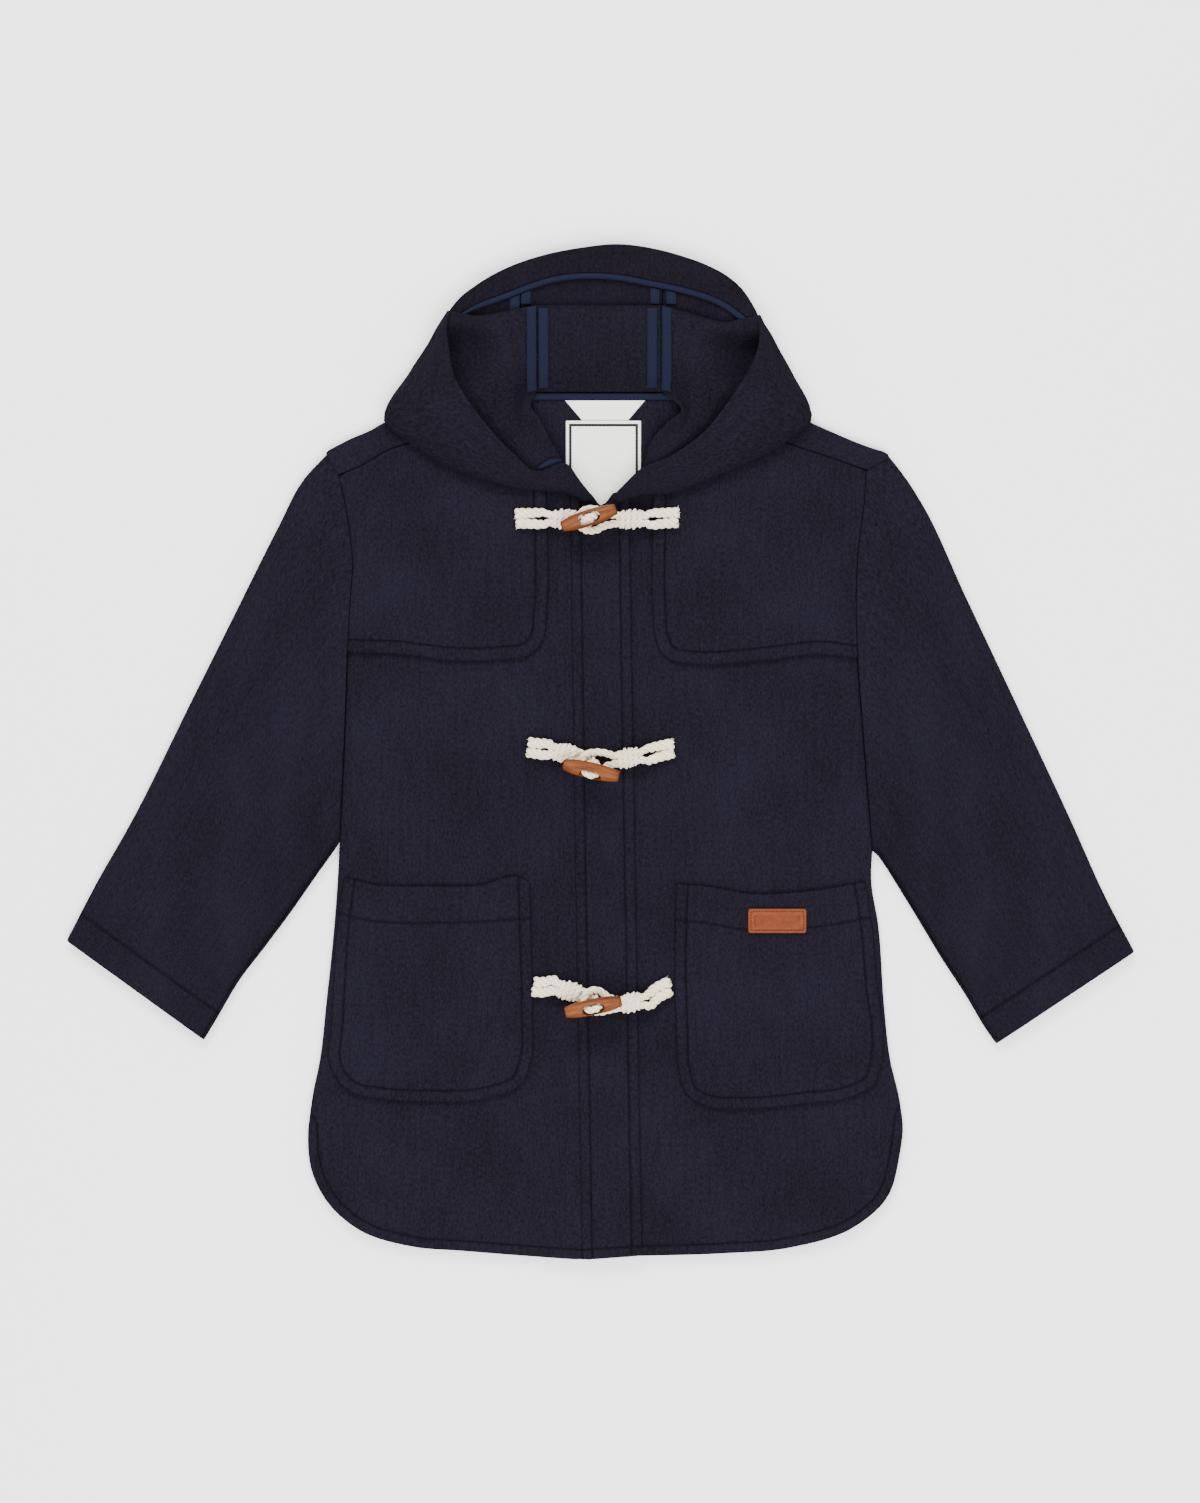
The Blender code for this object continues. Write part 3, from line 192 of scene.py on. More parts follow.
def finish_material(mat, colour, height=None, strength=0.0, distance=0.0):
    """Link a colour to the material's shader, and a height as bump, its distance in metres."""
    shader = mat.node_tree.nodes["Principled BSDF"]
    mat.node_tree.links.new(colour, shader.inputs["Base Color"])
    if height is not None:
        bump = add_node(mat, "ShaderNodeBump", {
            "Height": height, "Strength": strength, "Distance": distance})
        mat.node_tree.links.new(bump.outputs["Normal"], shader.inputs["Normal"])
    return mat


# %% Where a texture lies
def grain_of(mat):
    """The grain that each piece carries: two lengths over its surface, in metres."""
    return add_node(mat, "ShaderNodeUVMap", uv_map="grain").outputs["UV"]


def place_of(mat):
    """The point in space, in metres, for small pieces that need no grain."""
    return add_node(mat, "ShaderNodeTexCoord").outputs["Object"]


def carried(mat, name):
    """A number that each vertex carries."""
    return add_node(mat, "ShaderNodeAttribute", attribute_name=name).outputs["Fac"]


# %% Textures, and what is made of them
MIX_FACTOR, MIX_A, MIX_B, MIX_OUT = 0, 6, 7, 2     # a colour Mix node's sockets, by number


def speckle(mat, place, cycles, detail, roughness=0.5, distortion=0.0):
    """Noise with so many cycles per metre, given as one number or as a pair for U and V."""
    if isinstance(cycles, tuple):
        scaled = add_node(mat, "ShaderNodeMapping", {"Vector": place, "Scale": (*cycles, 1.0)})
        place, cycles = scaled.outputs["Vector"], 1.0
    return add_node(mat, "ShaderNodeTexNoise", {
        "Vector": place, "Scale": cycles, "Detail": detail, "Roughness": roughness,
        "Distortion": distortion}).outputs["Fac"]


def slanted_lines(mat, place, turn, scale, distortion, detail, detail_scale):
    """Soft lines, 20 / tau of them for each unit of scale, turned by an angle in degrees."""
    turned = add_node(mat, "ShaderNodeMapping", {
        "Vector": place, "Rotation": (0.0, 0.0, math.radians(turn))})
    return add_node(mat, "ShaderNodeTexWave", {
        "Vector": turned.outputs["Vector"], "Scale": scale, "Distortion": distortion,
        "Detail": detail, "Detail Scale": detail_scale},
        wave_type="BANDS", bands_direction="Y").outputs["Fac"]


def combine(mat, operation, *values, kind="ShaderNodeMath"):
    """One value worked out from one or two others."""
    return add_node(mat, kind, dict(enumerate(values)), operation=operation).outputs[0]


def ramp(mat, value, low, high, start=0.0, end=1.0, kind="LINEAR"):
    """A value that runs from start to end while another runs from low to high."""
    return add_node(mat, "ShaderNodeMapRange", {
        "Value": value, "From Min": low, "From Max": high, "To Min": start, "To Max": end},
        interpolation_type=kind).outputs["Result"]


def mixed(mat, share, first, second):
    """Two colours mixed by a share; each is a hex value, a plain colour or a node's output."""
    first, second = (hex_colour(c) if isinstance(c, str) else c for c in (first, second))
    return add_node(mat, "ShaderNodeMix", {MIX_FACTOR: share, MIX_A: first, MIX_B: second},
                    data_type="RGBA").outputs[MIX_OUT]


# %% Floor board
floor_paint = new_material("white_board_paint", 0.9, Base_Color=hex_colour("fafafa"))
bm = bmesh.new()
bmesh.ops.create_grid(bm, x_segments=1, y_segments=1, size=FLOOR_SIZE / 2 * MM)
floor_mesh = bpy.data.meshes.new("floor")
bm.to_mesh(floor_mesh)
bm.free()
floor = bpy.data.objects.new("floor", floor_mesh)
floor.location.z = -FLOOR_BELOW * MM
floor_mesh.materials.append(floor_paint)
bpy.context.scene.collection.objects.link(floor)
print("floor", FLOOR_SIZE / 1000, "m wide")

# %% [markdown]
# ## Felted wool
# Duffle cloth is woven wool that has been milled until its fibres felt together. The weave can't
# be seen any more. What the eye gets is a dull, soft surface: dark and light dyed fibres mixed
# into a fine heather a millimetre or two across, brushed a little along the grain, with a faint
# bluish bloom where the loose hairs catch the light at a low angle. Stitching pulls the cloth
# down into a narrow valley, and the valley's shade is painted into the colour as a dark band;
# the pieces carry the distance to it as an attribute.

# %% Wool material
def felted_wool(name, dark, light, fleck):
    mat = new_material(
        name, 0.96, Specular_IOR_Level=0.02, Sheen_Weight=0.008, Sheen_Roughness=0.45,
        Sheen_Tint=hex_colour("9a94b4"))
    grain = grain_of(mat)
    # heather: fibre bundles 1.3 mm wide and 2.6 mm long
    heather = speckle(mat, grain, (760.0, 380.0), 4.0, 0.68)
    # the brushed nap: faint streaks 3 mm wide and 25 mm long
    nap = speckle(mat, grain, (330.0, 40.0), 2.0)
    # clouds 60 mm across, where the cloth has been pressed or handled
    clouds = speckle(mat, grain, 16.0, 2.0)
    total = combine(mat, "ADD", heather, combine(mat, "MULTIPLY", nap, 0.22))
    total = combine(mat, "ADD", total, combine(mat, "MULTIPLY", clouds, 0.3))
    colour = mixed(mat, ramp(mat, total, 0.53, 0.99), dark, light)
    # single pale hairs, 0.7 mm across
    hairs = speckle(mat, grain, 1400.0, 1.0, 0.4)
    colour = mixed(mat, ramp(mat, hairs, 0.64, 0.76, 0.0, 0.4, "SMOOTHSTEP"), colour, fleck)
    # painted shade: the colour darkens along a stitch line, where its valley lies in shadow
    painted_stitch_shade = ramp(mat, carried(mat, "from_stitch"), 0.0, 2.3, 0.6, 0.0, "SMOOTHSTEP")
    colour = mixed(mat, painted_stitch_shade, colour, "050408")
    # bump: matted hairs 0.9 mm apart on top of the heather's lumps
    matted = speckle(mat, grain, 1150.0, 3.0, 0.65)
    return finish_material(mat, colour, combine(mat, "ADD", heather, matted), 0.45, 0.0006)


WOOL_BODY = felted_wool("felted_wool_navy", "0b090b", "191722", "2d2a37")
# painted shade: the hood is the body's cloth, its colours painted a little darker for the shade inside the
# hood
WOOL_HOOD_PAINTED_DARKER = felted_wool("felted_wool_navy_hood_painted_darker", "0a080a", "181620", "2b2832")
WOOL_LINING_SIDE = felted_wool("felted_wool_navy_inner_face", "09070a", "17141d", "28252d")
print("wool materials:", WOOL_BODY.name, WOOL_HOOD_PAINTED_DARKER.name, WOOL_LINING_SIDE.name)

# %% [markdown]
# ## Tape, label, thread, cord, wood and leather
# The trims are quick to tell apart by how they take the light. Herringbone binding tape is a
# smooth twill with a soft shine. The label is a close satin. The cord is raw cotton: matt and
# creamy, each strand made of yarns that show as fine slanted lines. The toggles are turned
# hardwood, stained and varnished. The tag is vegetable-tanned leather, pressed and dyed tan.

# %% Binding tape
def twill_tape():
    mat = new_material(
        "cotton_twill_tape_blue", 0.85, Specular_IOR_Level=0.1, Sheen_Weight=0.02, Sheen_Roughness=0.4)
    grain = grain_of(mat)
    # twill lines 0.9 mm apart, coarser than the real 0.5 mm so that they show
    twill = slanted_lines(mat, grain, 38.0, 350.0, 1.5, 1.0, 2.0)
    mottle = speckle(mat, grain, 480.0, 3.0, 0.6)
    level = ramp(mat, combine(mat, "ADD", twill, mottle), 0.45, 1.6)
    colour = mixed(mat, level, "0a0c19", "11162b")
    # the stitch rows near both edges press the tape in, and painted shade darkens the colour along them
    painted_stitch_shade = ramp(mat, carried(mat, "from_stitch"), 0.0, 0.7, 0.45, 0.0, "SMOOTHSTEP")
    colour = mixed(mat, painted_stitch_shade, colour, "070912")
    return finish_material(mat, colour, twill, 0.5, 0.00025)


TAPE_BLUE = twill_tape()


# %% Satin label, threads
LABEL_FRAME = ((-19.9, 150.0), (23.9, 215.2))     # a plain woven frame; its foot is under the fronts
LABEL_LINE = 1.9


def satin_label():
    mat = new_material(
        "polyester_satin_white", 0.52, Specular_IOR_Level=0.35, Sheen_Weight=0.15, Sheen_Roughness=0.3)
    grain = grain_of(mat)
    # satin floats: threads 0.35 mm apart that run across the label
    floats = speckle(mat, grain, (260.0, 2800.0), 2.0)
    colour = mixed(mat, floats, "d3d4cf", "eeeeea")
    # a black line woven into the label, where the distance from a rectangle is next to nothing
    low, high = Vector(LABEL_FRAME[0]) * MM, Vector(LABEL_FRAME[1]) * MM
    from_middle = combine(mat, "SUBTRACT", grain, ((low + high) / 2).to_3d(), kind="ShaderNodeVectorMath")
    folded = combine(mat, "ABSOLUTE", from_middle, kind="ShaderNodeVectorMath")
    beyond = combine(mat, "SUBTRACT", folded, ((high - low) / 2).to_3d(), kind="ShaderNodeVectorMath")
    sides = add_node(mat, "ShaderNodeSeparateXYZ", {0: beyond})
    from_frame = combine(mat, "MAXIMUM", sides.outputs["X"], sides.outputs["Y"])
    from_frame = combine(mat, "ABSOLUTE", from_frame)
    line = ramp(mat, from_frame, (LABEL_LINE / 2 - 0.1) * MM, (LABEL_LINE / 2 + 0.1) * MM, 1.0, 0.0)
    colour = mixed(mat, line, colour, "060607")
    return finish_material(mat, colour, floats, 0.35, 0.0002)


def thread(name, code):
    """Sewing thread: two plies twisted hard; its light and dark flecks 0.5 mm apart are painted light and
    shade on the plies.
    """
    mat = new_material(name, 0.85, Specular_IOR_Level=0.05)
    shade = ramp(mat, speckle(mat, place_of(mat), 1800.0, 1.0), 0.35, 0.65, 0.0, 0.6)
    # painted shade: the dark flecks are the thread's colour at 0.45, for the far sides of the twisted plies
    dark = tuple(c * 0.45 for c in hex_colour(code)[:3]) + (1.0,)
    return finish_material(mat, mixed(mat, shade, code, dark))


LABEL_SATIN = satin_label()
THREAD_NAVY = thread("polyester_thread_navy", "110f16")
THREAD_BLACK = thread("polyester_thread_black", "0b0b0d")
THREAD_BLUE = thread("polyester_thread_blue", "151e39")
THREAD_BROWN = thread("waxed_thread_brown", "2c0d05")


# %% Cotton cord
def cotton_cord():
    mat = new_material(
        "raw_cotton_cord", 0.92, Specular_IOR_Level=0.15, Sheen_Weight=0.25, Sheen_Roughness=0.5)
    grain = grain_of(mat)
    # yarns 0.7 mm wide that slant round each strand: U runs along it, V round it
    yarns = slanted_lines(mat, grain, 32.0, 460.0, 2.2, 2.0, 1.5)
    lint = speckle(mat, grain, 900.0, 3.0, 0.7)
    dust = speckle(mat, grain, 120.0, 2.0)
    fibres = combine(mat, "ADD", yarns, lint)
    level = ramp(mat, combine(mat, "ADD", fibres, dust), 0.8, 2.1)
    return finish_material(mat, mixed(mat, level, "c4b798", "f4e8d0"), fibres, 0.5, 0.0002)


CORD_COTTON = cotton_cord()


# %% Turned wood and pressed leather
def stained_wood():
    mat = new_material(
        "turned_beech_stained", 0.5, Specular_IOR_Level=0.13, Coat_Weight=0.02, Coat_Roughness=0.3)
    grain = grain_of(mat)
    # U runs along the toggle, V round it: pores 0.7 mm wide and 7 mm long, over slower bands
    pores = speckle(mat, grain, (140.0, 1500.0), 4.0, 0.6, 0.3)
    bands = speckle(mat, grain, (45.0, 260.0), 2.0, 0.5, 0.6)
    level = ramp(mat, combine(mat, "ADD", pores, bands), 0.7, 1.3)
    colour = mixed(mat, level, "3f1e0d", "783f16")
    # stain gathers in the end grain, and the walls of the slot get painted shade
    colour = mixed(mat, carried(mat, "end_grain_stain_and_slot_shade"), colour, "220c05")
    return finish_material(mat, colour, pores, 0.2, 0.0002)


def tanned_leather():
    mat = new_material("pressed_leather_tan", 0.6, Specular_IOR_Level=0.12)
    place = place_of(mat)
    # pebble grain 0.6 mm across
    pebbles = add_node(mat, "ShaderNodeTexVoronoi", {"Vector": place, "Scale": 1600.0}, feature="F1")
    dye = speckle(mat, place, 260.0, 4.0, 0.6)
    colour = mixed(mat, ramp(mat, dye, 0.3, 0.7), "5e2a14", "6c3618")
    colour = mixed(mat, carried(mat, "pressed"), colour, "2a0e05")
    return finish_material(mat, colour, pebbles.outputs["Distance"], 0.25, 0.0002)


TOGGLE_WOOD = stained_wood()
TAG_LEATHER = tanned_leather()
print("materials so far:", len(bpy.data.materials))

# %% [markdown]
# ## Smooth lines and sheets
# A pattern cutter draws with few points and a curve through them. `refine` does the same: it
# fills in a line, or whole rows of a sheet, on a smooth curve through the given points. `skin`
# then lays a grid primitive over such rows, so a tube or a folded strip starts as a plain grid
# whose vertices are moved onto the cloth's shape.

# %% Smooth curves through points
def refine(rows, step, closed=False):
    """Fill in a line of points, or rows of them, on smooth curves, about `step` apart."""
    rows = np.asarray(rows, float)
    line_only = rows.ndim == 2
    if line_only:
        rows = rows[:, None, :]
    if closed:
        rows = np.concatenate([rows, rows[:1]])
    gap = np.linalg.norm(np.diff(rows, axis=0), axis=2).mean(axis=1)
    slope = np.diff(rows, axis=0) / gap[:, None, None]
    first, last = (slope[-1:], slope[:1]) if closed else (slope[:1], slope[-1:])
    gap_first, gap_last = (gap[-1:], gap[:1]) if closed else (gap[:1], gap[-1:])
    before, after = np.concatenate([first, slope]), np.concatenate([slope, last])
    wide_before = np.concatenate([gap_first, gap])[:, None, None]
    wide_after = np.concatenate([gap, gap_last])[:, None, None]
    tangent = (before * wide_after + after * wide_before) / (wide_before + wide_after)
    out = []
    for i, h in enumerate(gap):
        steps = max(1, round(h / step))
        for t in np.arange(steps) / steps:
            out.append((2 * t ** 3 - 3 * t ** 2 + 1) * rows[i] + (t ** 3 - 2 * t ** 2 + t) * h * tangent[i]
                       + (3 * t ** 2 - 2 * t ** 3) * rows[i + 1] + (t ** 3 - t ** 2) * h * tangent[i + 1])
    out.append(rows[-1])
    out = np.array(out)
    return out[:, 0, :] if line_only else out


def running_length(rows):
    """How far along a line, or along the mean of many side by side, each point lies."""
    rows = np.asarray(rows, float)
    if rows.ndim == 2:
        rows = rows[:, None, :]
    gap = np.linalg.norm(np.diff(rows, axis=0), axis=2).mean(axis=1)
    return np.concatenate([[0.0], np.cumsum(gap)])


def read_at(rows, places):
    """Rows read at given lengths along them."""
    rows = np.asarray(rows, float)
    flat = rows.reshape(len(rows), -1)
    at = running_length(rows)
    out = np.array([np.interp(places, at, values) for values in flat.T]).T
    return out.reshape(len(places), *rows.shape[1:])


# %% Rows of points close to an edge, for its rounding
RIM = np.array([0.0, 0.3, 0.75, 1.4])


def rimmed(total, step, extra=()):
    """Places along a length: even ones, some close to both ends, and extra ones."""
    count = max(2, round((total - 2 * RIM[-1]) / step) + 1)
    middle = np.linspace(RIM[-1], total - RIM[-1], count)
    places = np.concatenate([RIM[:-1], middle, total - RIM[-2::-1], extra])
    places = np.unique(np.round(places[(places >= 0) & (places <= total)], 3))
    keep = np.concatenate([[True], np.diff(places) > 0.2])
    keep[-1] = True
    return places[keep]


def edge_wall(distance):
    """Share of the full thickness at a distance from an edge, which makes the edge round."""
    t = np.clip(np.asarray(distance) / RIM[-1], 0.0, 1.0)
    return 0.34 + 0.66 * np.sqrt(1.0 - (1.0 - t) ** 2)


# %% [markdown]
# ## From a sheet to a piece of cloth
# Each piece is modelled as a thin sheet first. A Solidify modifier gives it its wall, a little
# thinner at the edges, where felted wool rounds over. The finished object stays at the origin,
# because its place is in its mesh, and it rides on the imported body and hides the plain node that
# it stands for.

# %% Make the object
def add_piece(name, bm, finish, replaces=()):
    """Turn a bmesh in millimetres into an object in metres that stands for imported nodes."""
    bmesh.ops.scale(bm, vec=(MM, MM, MM), verts=bm.verts)
    mesh = bpy.data.meshes.new(name)
    bm.to_mesh(mesh)
    bm.free()
    mesh.materials.append(finish)
    mesh.shade_smooth()
    obj = bpy.data.objects.new(name, mesh)
    bpy.context.scene.collection.objects.link(obj)
    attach(obj, "root")
    if replaces:
        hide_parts(*replaces)
    return obj


def add_cloth(name, bm, finish, replaces, thickness, offset):
    """A sheet with its wall. Offset 1 puts the wall above the sheet, 0 on both its sides."""
    obj = add_piece(name, bm, finish, replaces)
    obj.vertex_groups.new(name="wall")
    wall = obj.modifiers.new("wall", "SOLIDIFY")
    wall.thickness = thickness * MM
    wall.offset = offset
    wall.vertex_group = "wall"
    return obj


def cloth_layers(bm):
    """The layers of a sheet: wall share, distance to the stitches and grain. Made before its vertices
    are used, because a new layer makes Blender forget which vertex was which."""
    group = bm.verts.layers.deform.verify()
    near = bm.verts.layers.float.get("from_stitch") or bm.verts.layers.float.new("from_stitch")
    grain = bm.loops.layers.uv.get("grain") or bm.loops.layers.uv.new("grain")
    return group, near, grain


def write_layers(bm, verts, wall, from_stitch, uv):
    """Write what the wall and the material need onto some vertices of a sheet."""
    group, near, grain = cloth_layers(bm)
    for vert, share, distance in zip(verts, wall, from_stitch):
        vert[group][0] = float(share)
        vert[near] = float(distance)
    where = {vert: Vector(pair) * MM for vert, pair in zip(verts, uv)}
    for face in {face for vert in verts for face in vert.link_faces}:
        if all(loop.vert in where for loop in face.loops):
            for loop in face.loops:
                loop[grain].uv = where[loop.vert]


# %% Lay a grid over rows of points
NO_STITCH = 50.0              # a distance from any stitching that is as good as none


def skin(rows, thin_rows=True, thin_columns=True, stitch=None, wrap=False, bm=None):
    """A sheet through rows of points, its edges thinned and its grain running up the rows."""
    rows = np.asarray(rows, float)
    high, wide = rows.shape[:2]
    bm = bm or bmesh.new()
    cloth_layers(bm)
    fresh = bmesh.ops.create_grid(bm, x_segments=wide - 1, y_segments=high - 1, size=0.5)["verts"]
    index = [(round((v.co.y + 0.5) * (high - 1)), round((v.co.x + 0.5) * (wide - 1))) for v in fresh]
    for vert, place in zip(fresh, index):
        vert.co = rows[place]
    up, over = running_length(rows), running_length(rows.transpose(1, 0, 2))
    from_end = np.minimum(up, up[-1] - up) if thin_rows else np.full(high, NO_STITCH)
    from_side = np.minimum(over, over[-1] - over) if thin_columns else np.full(wide, NO_STITCH)
    wall = [edge_wall(min(from_end[i], from_side[j])) for i, j in index]
    near = np.full((high, wide), NO_STITCH) if stitch is None else np.asarray(stitch)
    write_layers(bm, fresh, wall, [near[place] for place in index], [(over[j], up[i]) for i, j in index])
    if wrap:
        bmesh.ops.remove_doubles(bm, verts=bm.verts, dist=0.02)
    bmesh.ops.recalc_face_normals(bm, faces=bm.faces)
    return bm


print("smooth line test:", len(refine([(0, 0), (30, 10), (60, 0)], 3.0)), "points")

# %% [markdown]
# ## How high each layer lies
# Nothing in a folded coat is flat. The fronts lie on the back with a little air between them,
# most in the middle of each side. The right front climbs onto the left one, and yokes and pockets
# follow whatever is under them. All layers share one base height, so they never cut through one
# another. It carries the coat's few soft rolls, which run slantwise from the armholes, and the
# slow unevenness of cloth that has been pressed and laid out by hand.

# %% Thicknesses and gaps
WOOL = 2.2
TAPE = 1.0
LEATHER = 1.4
SEAM = 0.3                    # gap between two pieces where they are sewn together
LAY = 0.4                     # gap between a piece and the one it lies on
AIR_EDGE = 0.5
AIR_MIDDLE = 1.2
LAP_RISE = WOOL + LAY

# %% Outlines of the body, as (x, y) points
SIDE_RIGHT = (
    (-171.9, -58.0), (-173.2, -83.0), (-176.6, -126.4), (-180.5, -162.7), (-185.1, -203.6),
    (-190.0, -228.0), (-192.4, -252.0), (-189.5, -277.5), (-180.5, -295.4), (-159.4, -314.5),
    (-124.4, -325.7), (-90.8, -328.6), (-43.2, -332.3), (-11.6, -334.3))
SIDE_LEFT = (
    (179.2, -65.0), (178.5, -84.2), (183.2, -114.5), (187.1, -168.6), (191.1, -203.6),
    (197.4, -231.0), (199.0, -246.0), (196.8, -265.0), (188.4, -294.0), (168.6, -311.9),
    (125.1, -326.4), (79.5, -330.3), (26.7, -331.9))
ARMHOLE_RIGHT = (
    (-172.6, 181.8), (-168.6, 164.7), (-165.3, 144.2), (-163.3, 123.8), (-164.7, 104.0),
    (-166.8, 65.6), (-168.4, 20.0), (-171.9, -58.0))
ARMHOLE_LEFT = (
    (175.2, 185.1), (173.9, 164.7), (171.3, 144.2), (169.3, 123.8), (168.6, 104.0),
    (169.6, 61.7), (172.6, 20.0), (179.2, -65.0))
SHOULDER_SEAM_RIGHT = ((-74.0, 224.0), (-125.1, 203.6), (-138.9, 199.0), (-157.4, 188.4), (-172.6, 181.8))
SHOULDER_SEAM_LEFT = ((78.0, 224.0), (121.8, 204.3), (131.0, 200.3), (147.5, 195.0), (175.2, 185.1))
SHOULDER_FOLD_RIGHT = ((-80.0, 232.0), (-141.6, 217.5), (-150.8, 212.2), (-167.3, 204.9), (-179.5, 197.5))
SHOULDER_FOLD_LEFT = ((84.0, 232.0), (137.0, 217.5), (147.5, 212.9), (166.0, 204.9), (188.5, 196.5))
NECKLINE_RIGHT = ((-74.0, 224.0), (-64.0, 203.0), (-46.0, 184.5), (-19.7, 172.5))
NECKLINE_LEFT = ((78.0, 224.0), (68.0, 203.0), (50.0, 185.5), (24.0, 172.5))
PLACKET_SEAM = ((-19.5, 171.0), (-16.8, -32.0), (-11.6, -334.3))
PLACKET_EDGE = ((18.2, 171.0), (21.4, -32.0), (26.7, -331.5))
PLACKET_TOP = (
    (18.2, 171.0), (8.0, 170.0), (4.6, 165.2), (1.0, 161.4), (-2.8, 165.2), (-6.6, 170.0), (-19.5, 171.0))
YOKE_RIGHT_FREE = (
    (-36.0, 171.0), (-36.0, 90.1), (-37.6, 76.0), (-41.0, 69.0), (-45.9, 64.6), (-63.7, 61.1),
    (-97.4, 60.4), (-131.0, 64.4), (-166.8, 65.6))
YOKE_LEFT_FREE = (
    (35.3, 171.0), (35.3, 90.1), (37.0, 73.0), (40.6, 65.0), (46.5, 60.4), (57.1, 58.4),
    (106.6, 60.4), (147.5, 64.4), (169.6, 61.7))

# %% Outlines of the pockets: the mouth, then the sewn sides and bottom
MOUTH_RIGHT = (
    (-168.2, -82.8), (-148.8, -87.5), (-115.8, -88.6), (-80.2, -88.0), (-52.5, -82.8), (-47.2, -86.1))
BAG_RIGHT = (
    (-47.2, -86.1), (-46.5, -111.9), (-45.2, -171.3), (-46.5, -204.3), (-53.1, -219.5), (-71.0, -226.7),
    (-115.8, -230.0), (-145.5, -228.0), (-162.7, -224.6), (-173.2, -215.8), (-178.2, -203.0),
    (-176.6, -183.2), (-172.4, -114.0), (-168.2, -82.8))
MOUTH_LEFT = ((50.6, -86.8), (74.9, -89.4), (98.0, -93.4), (133.7, -92.1), (157.4, -88.8), (173.6, -85.5))
BAG_LEFT = (
    (173.6, -85.5), (178.0, -114.5), (180.8, -147.5), (184.6, -203.0), (180.5, -218.1), (168.6, -225.4),
    (133.7, -231.3), (92.1, -234.6), (69.6, -232.7), (57.1, -225.4), (52.5, -212.2),
    (50.5, -183.2), (49.4, -135.6), (50.6, -86.8))
TAG_CENTRE = (116.3, -111.4)
TAG_SIZE = (38.4, 16.2)

# %% Soft rolls: start x, y, end x, y, height, half width
BODY_ROLLS = (
    (-158.0, 58.0, -30.0, -62.0, 0.85, 24.0),
    (-150.0, 10.0, -60.0, -70.0, -0.45, 20.0),
    (-120.0, 160.0, -60.0, 90.0, 0.45, 24.0),
    (-60.0, 20.0, -34.0, -90.0, 0.35, 14.0),
    (158.0, 30.0, 60.0, -66.0, 0.70, 26.0),
    (150.0, -30.0, 80.0, -74.0, -0.35, 16.0),
    (120.0, 150.0, 70.0, 84.0, 0.40, 22.0),
    (-110.0, -250.0, -60.0, -322.0, 0.45, 18.0),
    (-40.0, -240.0, -30.0, -320.0, -0.30, 14.0),
    (90.0, -245.0, 132.0, -318.0, 0.45, 20.0),
    (50.0, -100.0, 40.0, -200.0, 0.35, 14.0),
)


def rolls_at(table, x, y):
    total = np.zeros_like(x)
    for x0, y0, x1, y1, high, wide in table:
        run = np.array([x1 - x0, y1 - y0])
        t = np.clip(((x - x0) * run[0] + (y - y0) * run[1]) / (run @ run), 0.0, 1.0)
        away = np.hypot(x - x0 - run[0] * t, y - y0 - run[1] * t)
        total = total + high * np.exp(-(away / wide) ** 2)
    return total


HOOD_SEED = 5.0               # each part of the coat is uneven in its own way
LABEL_SEED = 8.0


def ripple(x, y, seed=0.0):
    """Unevenness of laid-out cloth: slow waves of 0.3 mm with smaller ones on them."""
    def wave(a, b):
        slow = noise.noise(Vector((a / 46.0, b / 62.0, 3.1 + seed)))
        quick = noise.noise(Vector((a / 17.0, b / 23.0, 9.7 + seed)))
        return 0.34 * slow + 0.13 * quick
    return np.array([wave(a, b) for a, b in zip(np.ravel(x), np.ravel(y))]).reshape(np.shape(x))


# %% Undersides of the body's layers
ARMPIT_Y = -60.0              # the armholes lie above this, the side seams below it
HEM_Y = -333.0
SHOULDER_Y = 212.0


def under_base(x, y):
    """Underside of the left front, and what all other layers are measured from."""
    x, y = np.asarray(x, float), np.asarray(y, float)
    low_x = np.where(y > ARMPIT_Y, along(ARMHOLE_RIGHT, 1, 0, y), along(SIDE_RIGHT[:8], 1, 0, y))
    high_x = np.where(y > ARMPIT_Y, along(ARMHOLE_LEFT, 1, 0, y), along(SIDE_LEFT[:9], 1, 0, y))
    inside = smooth_step(np.minimum(x - low_x, high_x - x) / 34.0)
    inside = inside * smooth_step((y - HEM_Y) / 30.0) * smooth_step((SHOULDER_Y - y) / 60.0)
    return WOOL + AIR_EDGE + inside * (AIR_MIDDLE + rolls_at(BODY_ROLLS, x, y) + ripple(x, y))


def under_right(x, y):
    """Underside of the right front, which climbs onto the left one."""
    return under_base(x, y) + LAP_RISE * smooth_step((np.asarray(x) + 50.0) / 28.0)


def under_placket(x, y):
    return under_base(x, y) + LAP_RISE


def under_yoke_right(x, y):
    return under_right(x, y) + WOOL + LAY


def under_yoke_left(x, y):
    return under_base(x, y) + WOOL + LAY


def mouth_gape(x, y, middle, half, top):
    """A pocket's mouth stands a little off the front, most in its middle."""
    return 1.6 * smooth_step(1.0 - np.abs(x - middle) / half) * smooth_step((y - top + 40.0) / 40.0)


def under_pocket_right(x, y):
    return under_right(x, y) + WOOL + LAY + mouth_gape(x, y, -107.0, 62.0, -85.0)


def under_pocket_left(x, y):
    return under_base(x, y) + WOOL + LAY + mouth_gape(x, y, 113.0, 64.0, -89.0)


print("placket underside at the middle toggle:", round(float(under_placket(0.0, -12.0)), 2), "mm")

# %% [markdown]
# ## A cloth panel
# A flat piece is cut from its outline, then crossed with a lattice so that it can follow the
# layers below. The lines that matter are the stitched ones: a turned edge is folded under and
# sewn a few millimetres in, so it swells into a soft band with a narrow valley behind it. To model
# that cleanly, the sheet is also cut along lines of equal distance from the edge, as close
# together as the band's curve needs.

